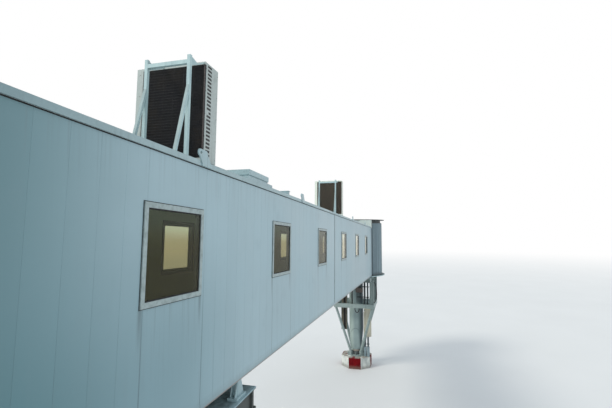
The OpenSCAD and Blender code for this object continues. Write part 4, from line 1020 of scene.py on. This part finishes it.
# Junction box on the tube with its lid, screws and glands
BOX_FOOT, LID_X, GLAND_X = 4.76, -0.612, -0.48
GLAND_Y = (-0.43, -0.35, -0.27, -0.19, -0.11)
GLAND = [(0.021, 0), (0.021, 0.018), (0.016, 0.020), (0.014, 0.034)]
box = Shape()
box.box((-0.60, -0.50, BOX_FOOT), (-0.35, -0.06, 5.04))
box.box((LID_X, -0.508, 4.752), (-0.600, -0.052, 5.048))
box.make("junction_box", M_BOX, bevel=0.006)
glands = Shape()
for y in (-0.48, -0.08):
    for z in (4.78, 5.02):
        glands.screw((LID_X, y, z), "-x", 0.008)
for y in GLAND_Y:
    glands.lathe((GLAND_X, y, BOX_FOOT), "-z", GLAND, 8)
glands.make("junction_box_glands", M_BLACK)

# Cables down to the column frame: from the box, and from the chamber as x, y and radius
CHAMBER_CABLES = ((-1.02, 0.10, 0.032), (-1.03, 0.17, 0.018), (-1.03, -0.64, 0.020),
                  (-1.02, -0.70, 0.026), (-1.03, -0.86, 0.030))
BOX_CABLE_LO, BOX_CABLE_R, BOX_CABLE_L = 4.09, 0.0105, 0.655
CHAMBER_CABLE_LO, CHAMBER_CABLE_L = 4.095, 1.50
cables = Shape()
for y in GLAND_Y:
    cables.rod((GLAND_X, y, BOX_CABLE_LO), "z", BOX_CABLE_R, BOX_CABLE_L, 8)
for x, y, radius in CHAMBER_CABLES:
    cables.rod((x, y, CHAMBER_CABLE_LO), "z", radius, CHAMBER_CABLE_L, 10)
cables.make("frame_cables", M_CABLE, smooth=True)


# ---------------------------------------------------------------- floor, light and camera

# Pale floor that fades into the white background
FLOOR_HALF, FADE_FROM, FADE_TO = 4000, 30, 160
ground = bpy.data.meshes.new("floor")
ground.from_pydata([(x * FLOOR_HALF, y * FLOOR_HALF, 0) for x, y in ((-1, -1), (1, -1), (1, 1), (-1, 1))],
                   [], [(0, 1, 2, 3)])
floor = bpy.data.objects.new("floor", ground)
bpy.context.collection.objects.link(floor)
k = Look("pale floor")
ground.materials.append(k.done(k.blend(k.noise(0.2, 3), lin(216, 217, 216), lin(209, 210, 209)), 0.9))
reach = k.add("ShaderNodeVectorMath", operation="LENGTH")
k.put(reach.inputs[0], k.pos)
far = k.times(k.ramp(reach.outputs["Value"], FADE_FROM, FADE_TO), k.seen())
faded = k.mix_shaders(far, k.shader.outputs[0], k.add("ShaderNodeEmission").outputs[0])
k.put(k.tree.nodes["Material Output"].inputs[0], faded)
floor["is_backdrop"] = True

# Overcast sky for the light, white for the picture
world = bpy.data.worlds.new("studio")
bpy.context.scene.world = world
world.use_nodes = True
world.node_tree.nodes.clear()
sky = Nodes(world.node_tree)
overcast, white = sky.background((0.87, 0.95, 1.03, 1), 0.92), sky.background((1, 1, 1, 1), 1.0)
sky.put(sky.add("ShaderNodeOutputWorld").inputs[0], sky.mix_shaders(sky.seen(), overcast, white))

sun_data = bpy.data.lights.new("hazy sun", "SUN")
sun_data.energy, sun_data.angle, sun_data.color = 1.5, math.radians(16), (1.0, 0.95, 0.86)
sun = bpy.data.objects.new("hazy sun", sun_data)
sun.rotation_euler = Vector((-0.50, 0.58, 0.64)).to_track_quat("Z", "Y").to_euler()
bpy.context.collection.objects.link(sun)

# The photo's camera, solved from the wall's lines and the horizon
PITCH_UP, TURNED = 3.814, 15.2775
cam_data = bpy.data.cameras.new("camera")
cam_data.lens, cam_data.sensor_width = 22.94, 36
cam_data.clip_start, cam_data.clip_end = 0.05, 9000
cam = bpy.data.objects.new("camera", cam_data)
cam.location = (-26.18, -3.70, 8.79)
cam.rotation_euler = (math.radians(90 + PITCH_UP), 0, math.radians(TURNED - 90))
bpy.context.collection.objects.link(cam)
bpy.context.scene.camera = cam
bpy.context.scene.view_settings.view_transform = "Standard"

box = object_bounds()
{"cad": [list(v) for v in CAD_BOX], "visual": [list(v) for v in box]}
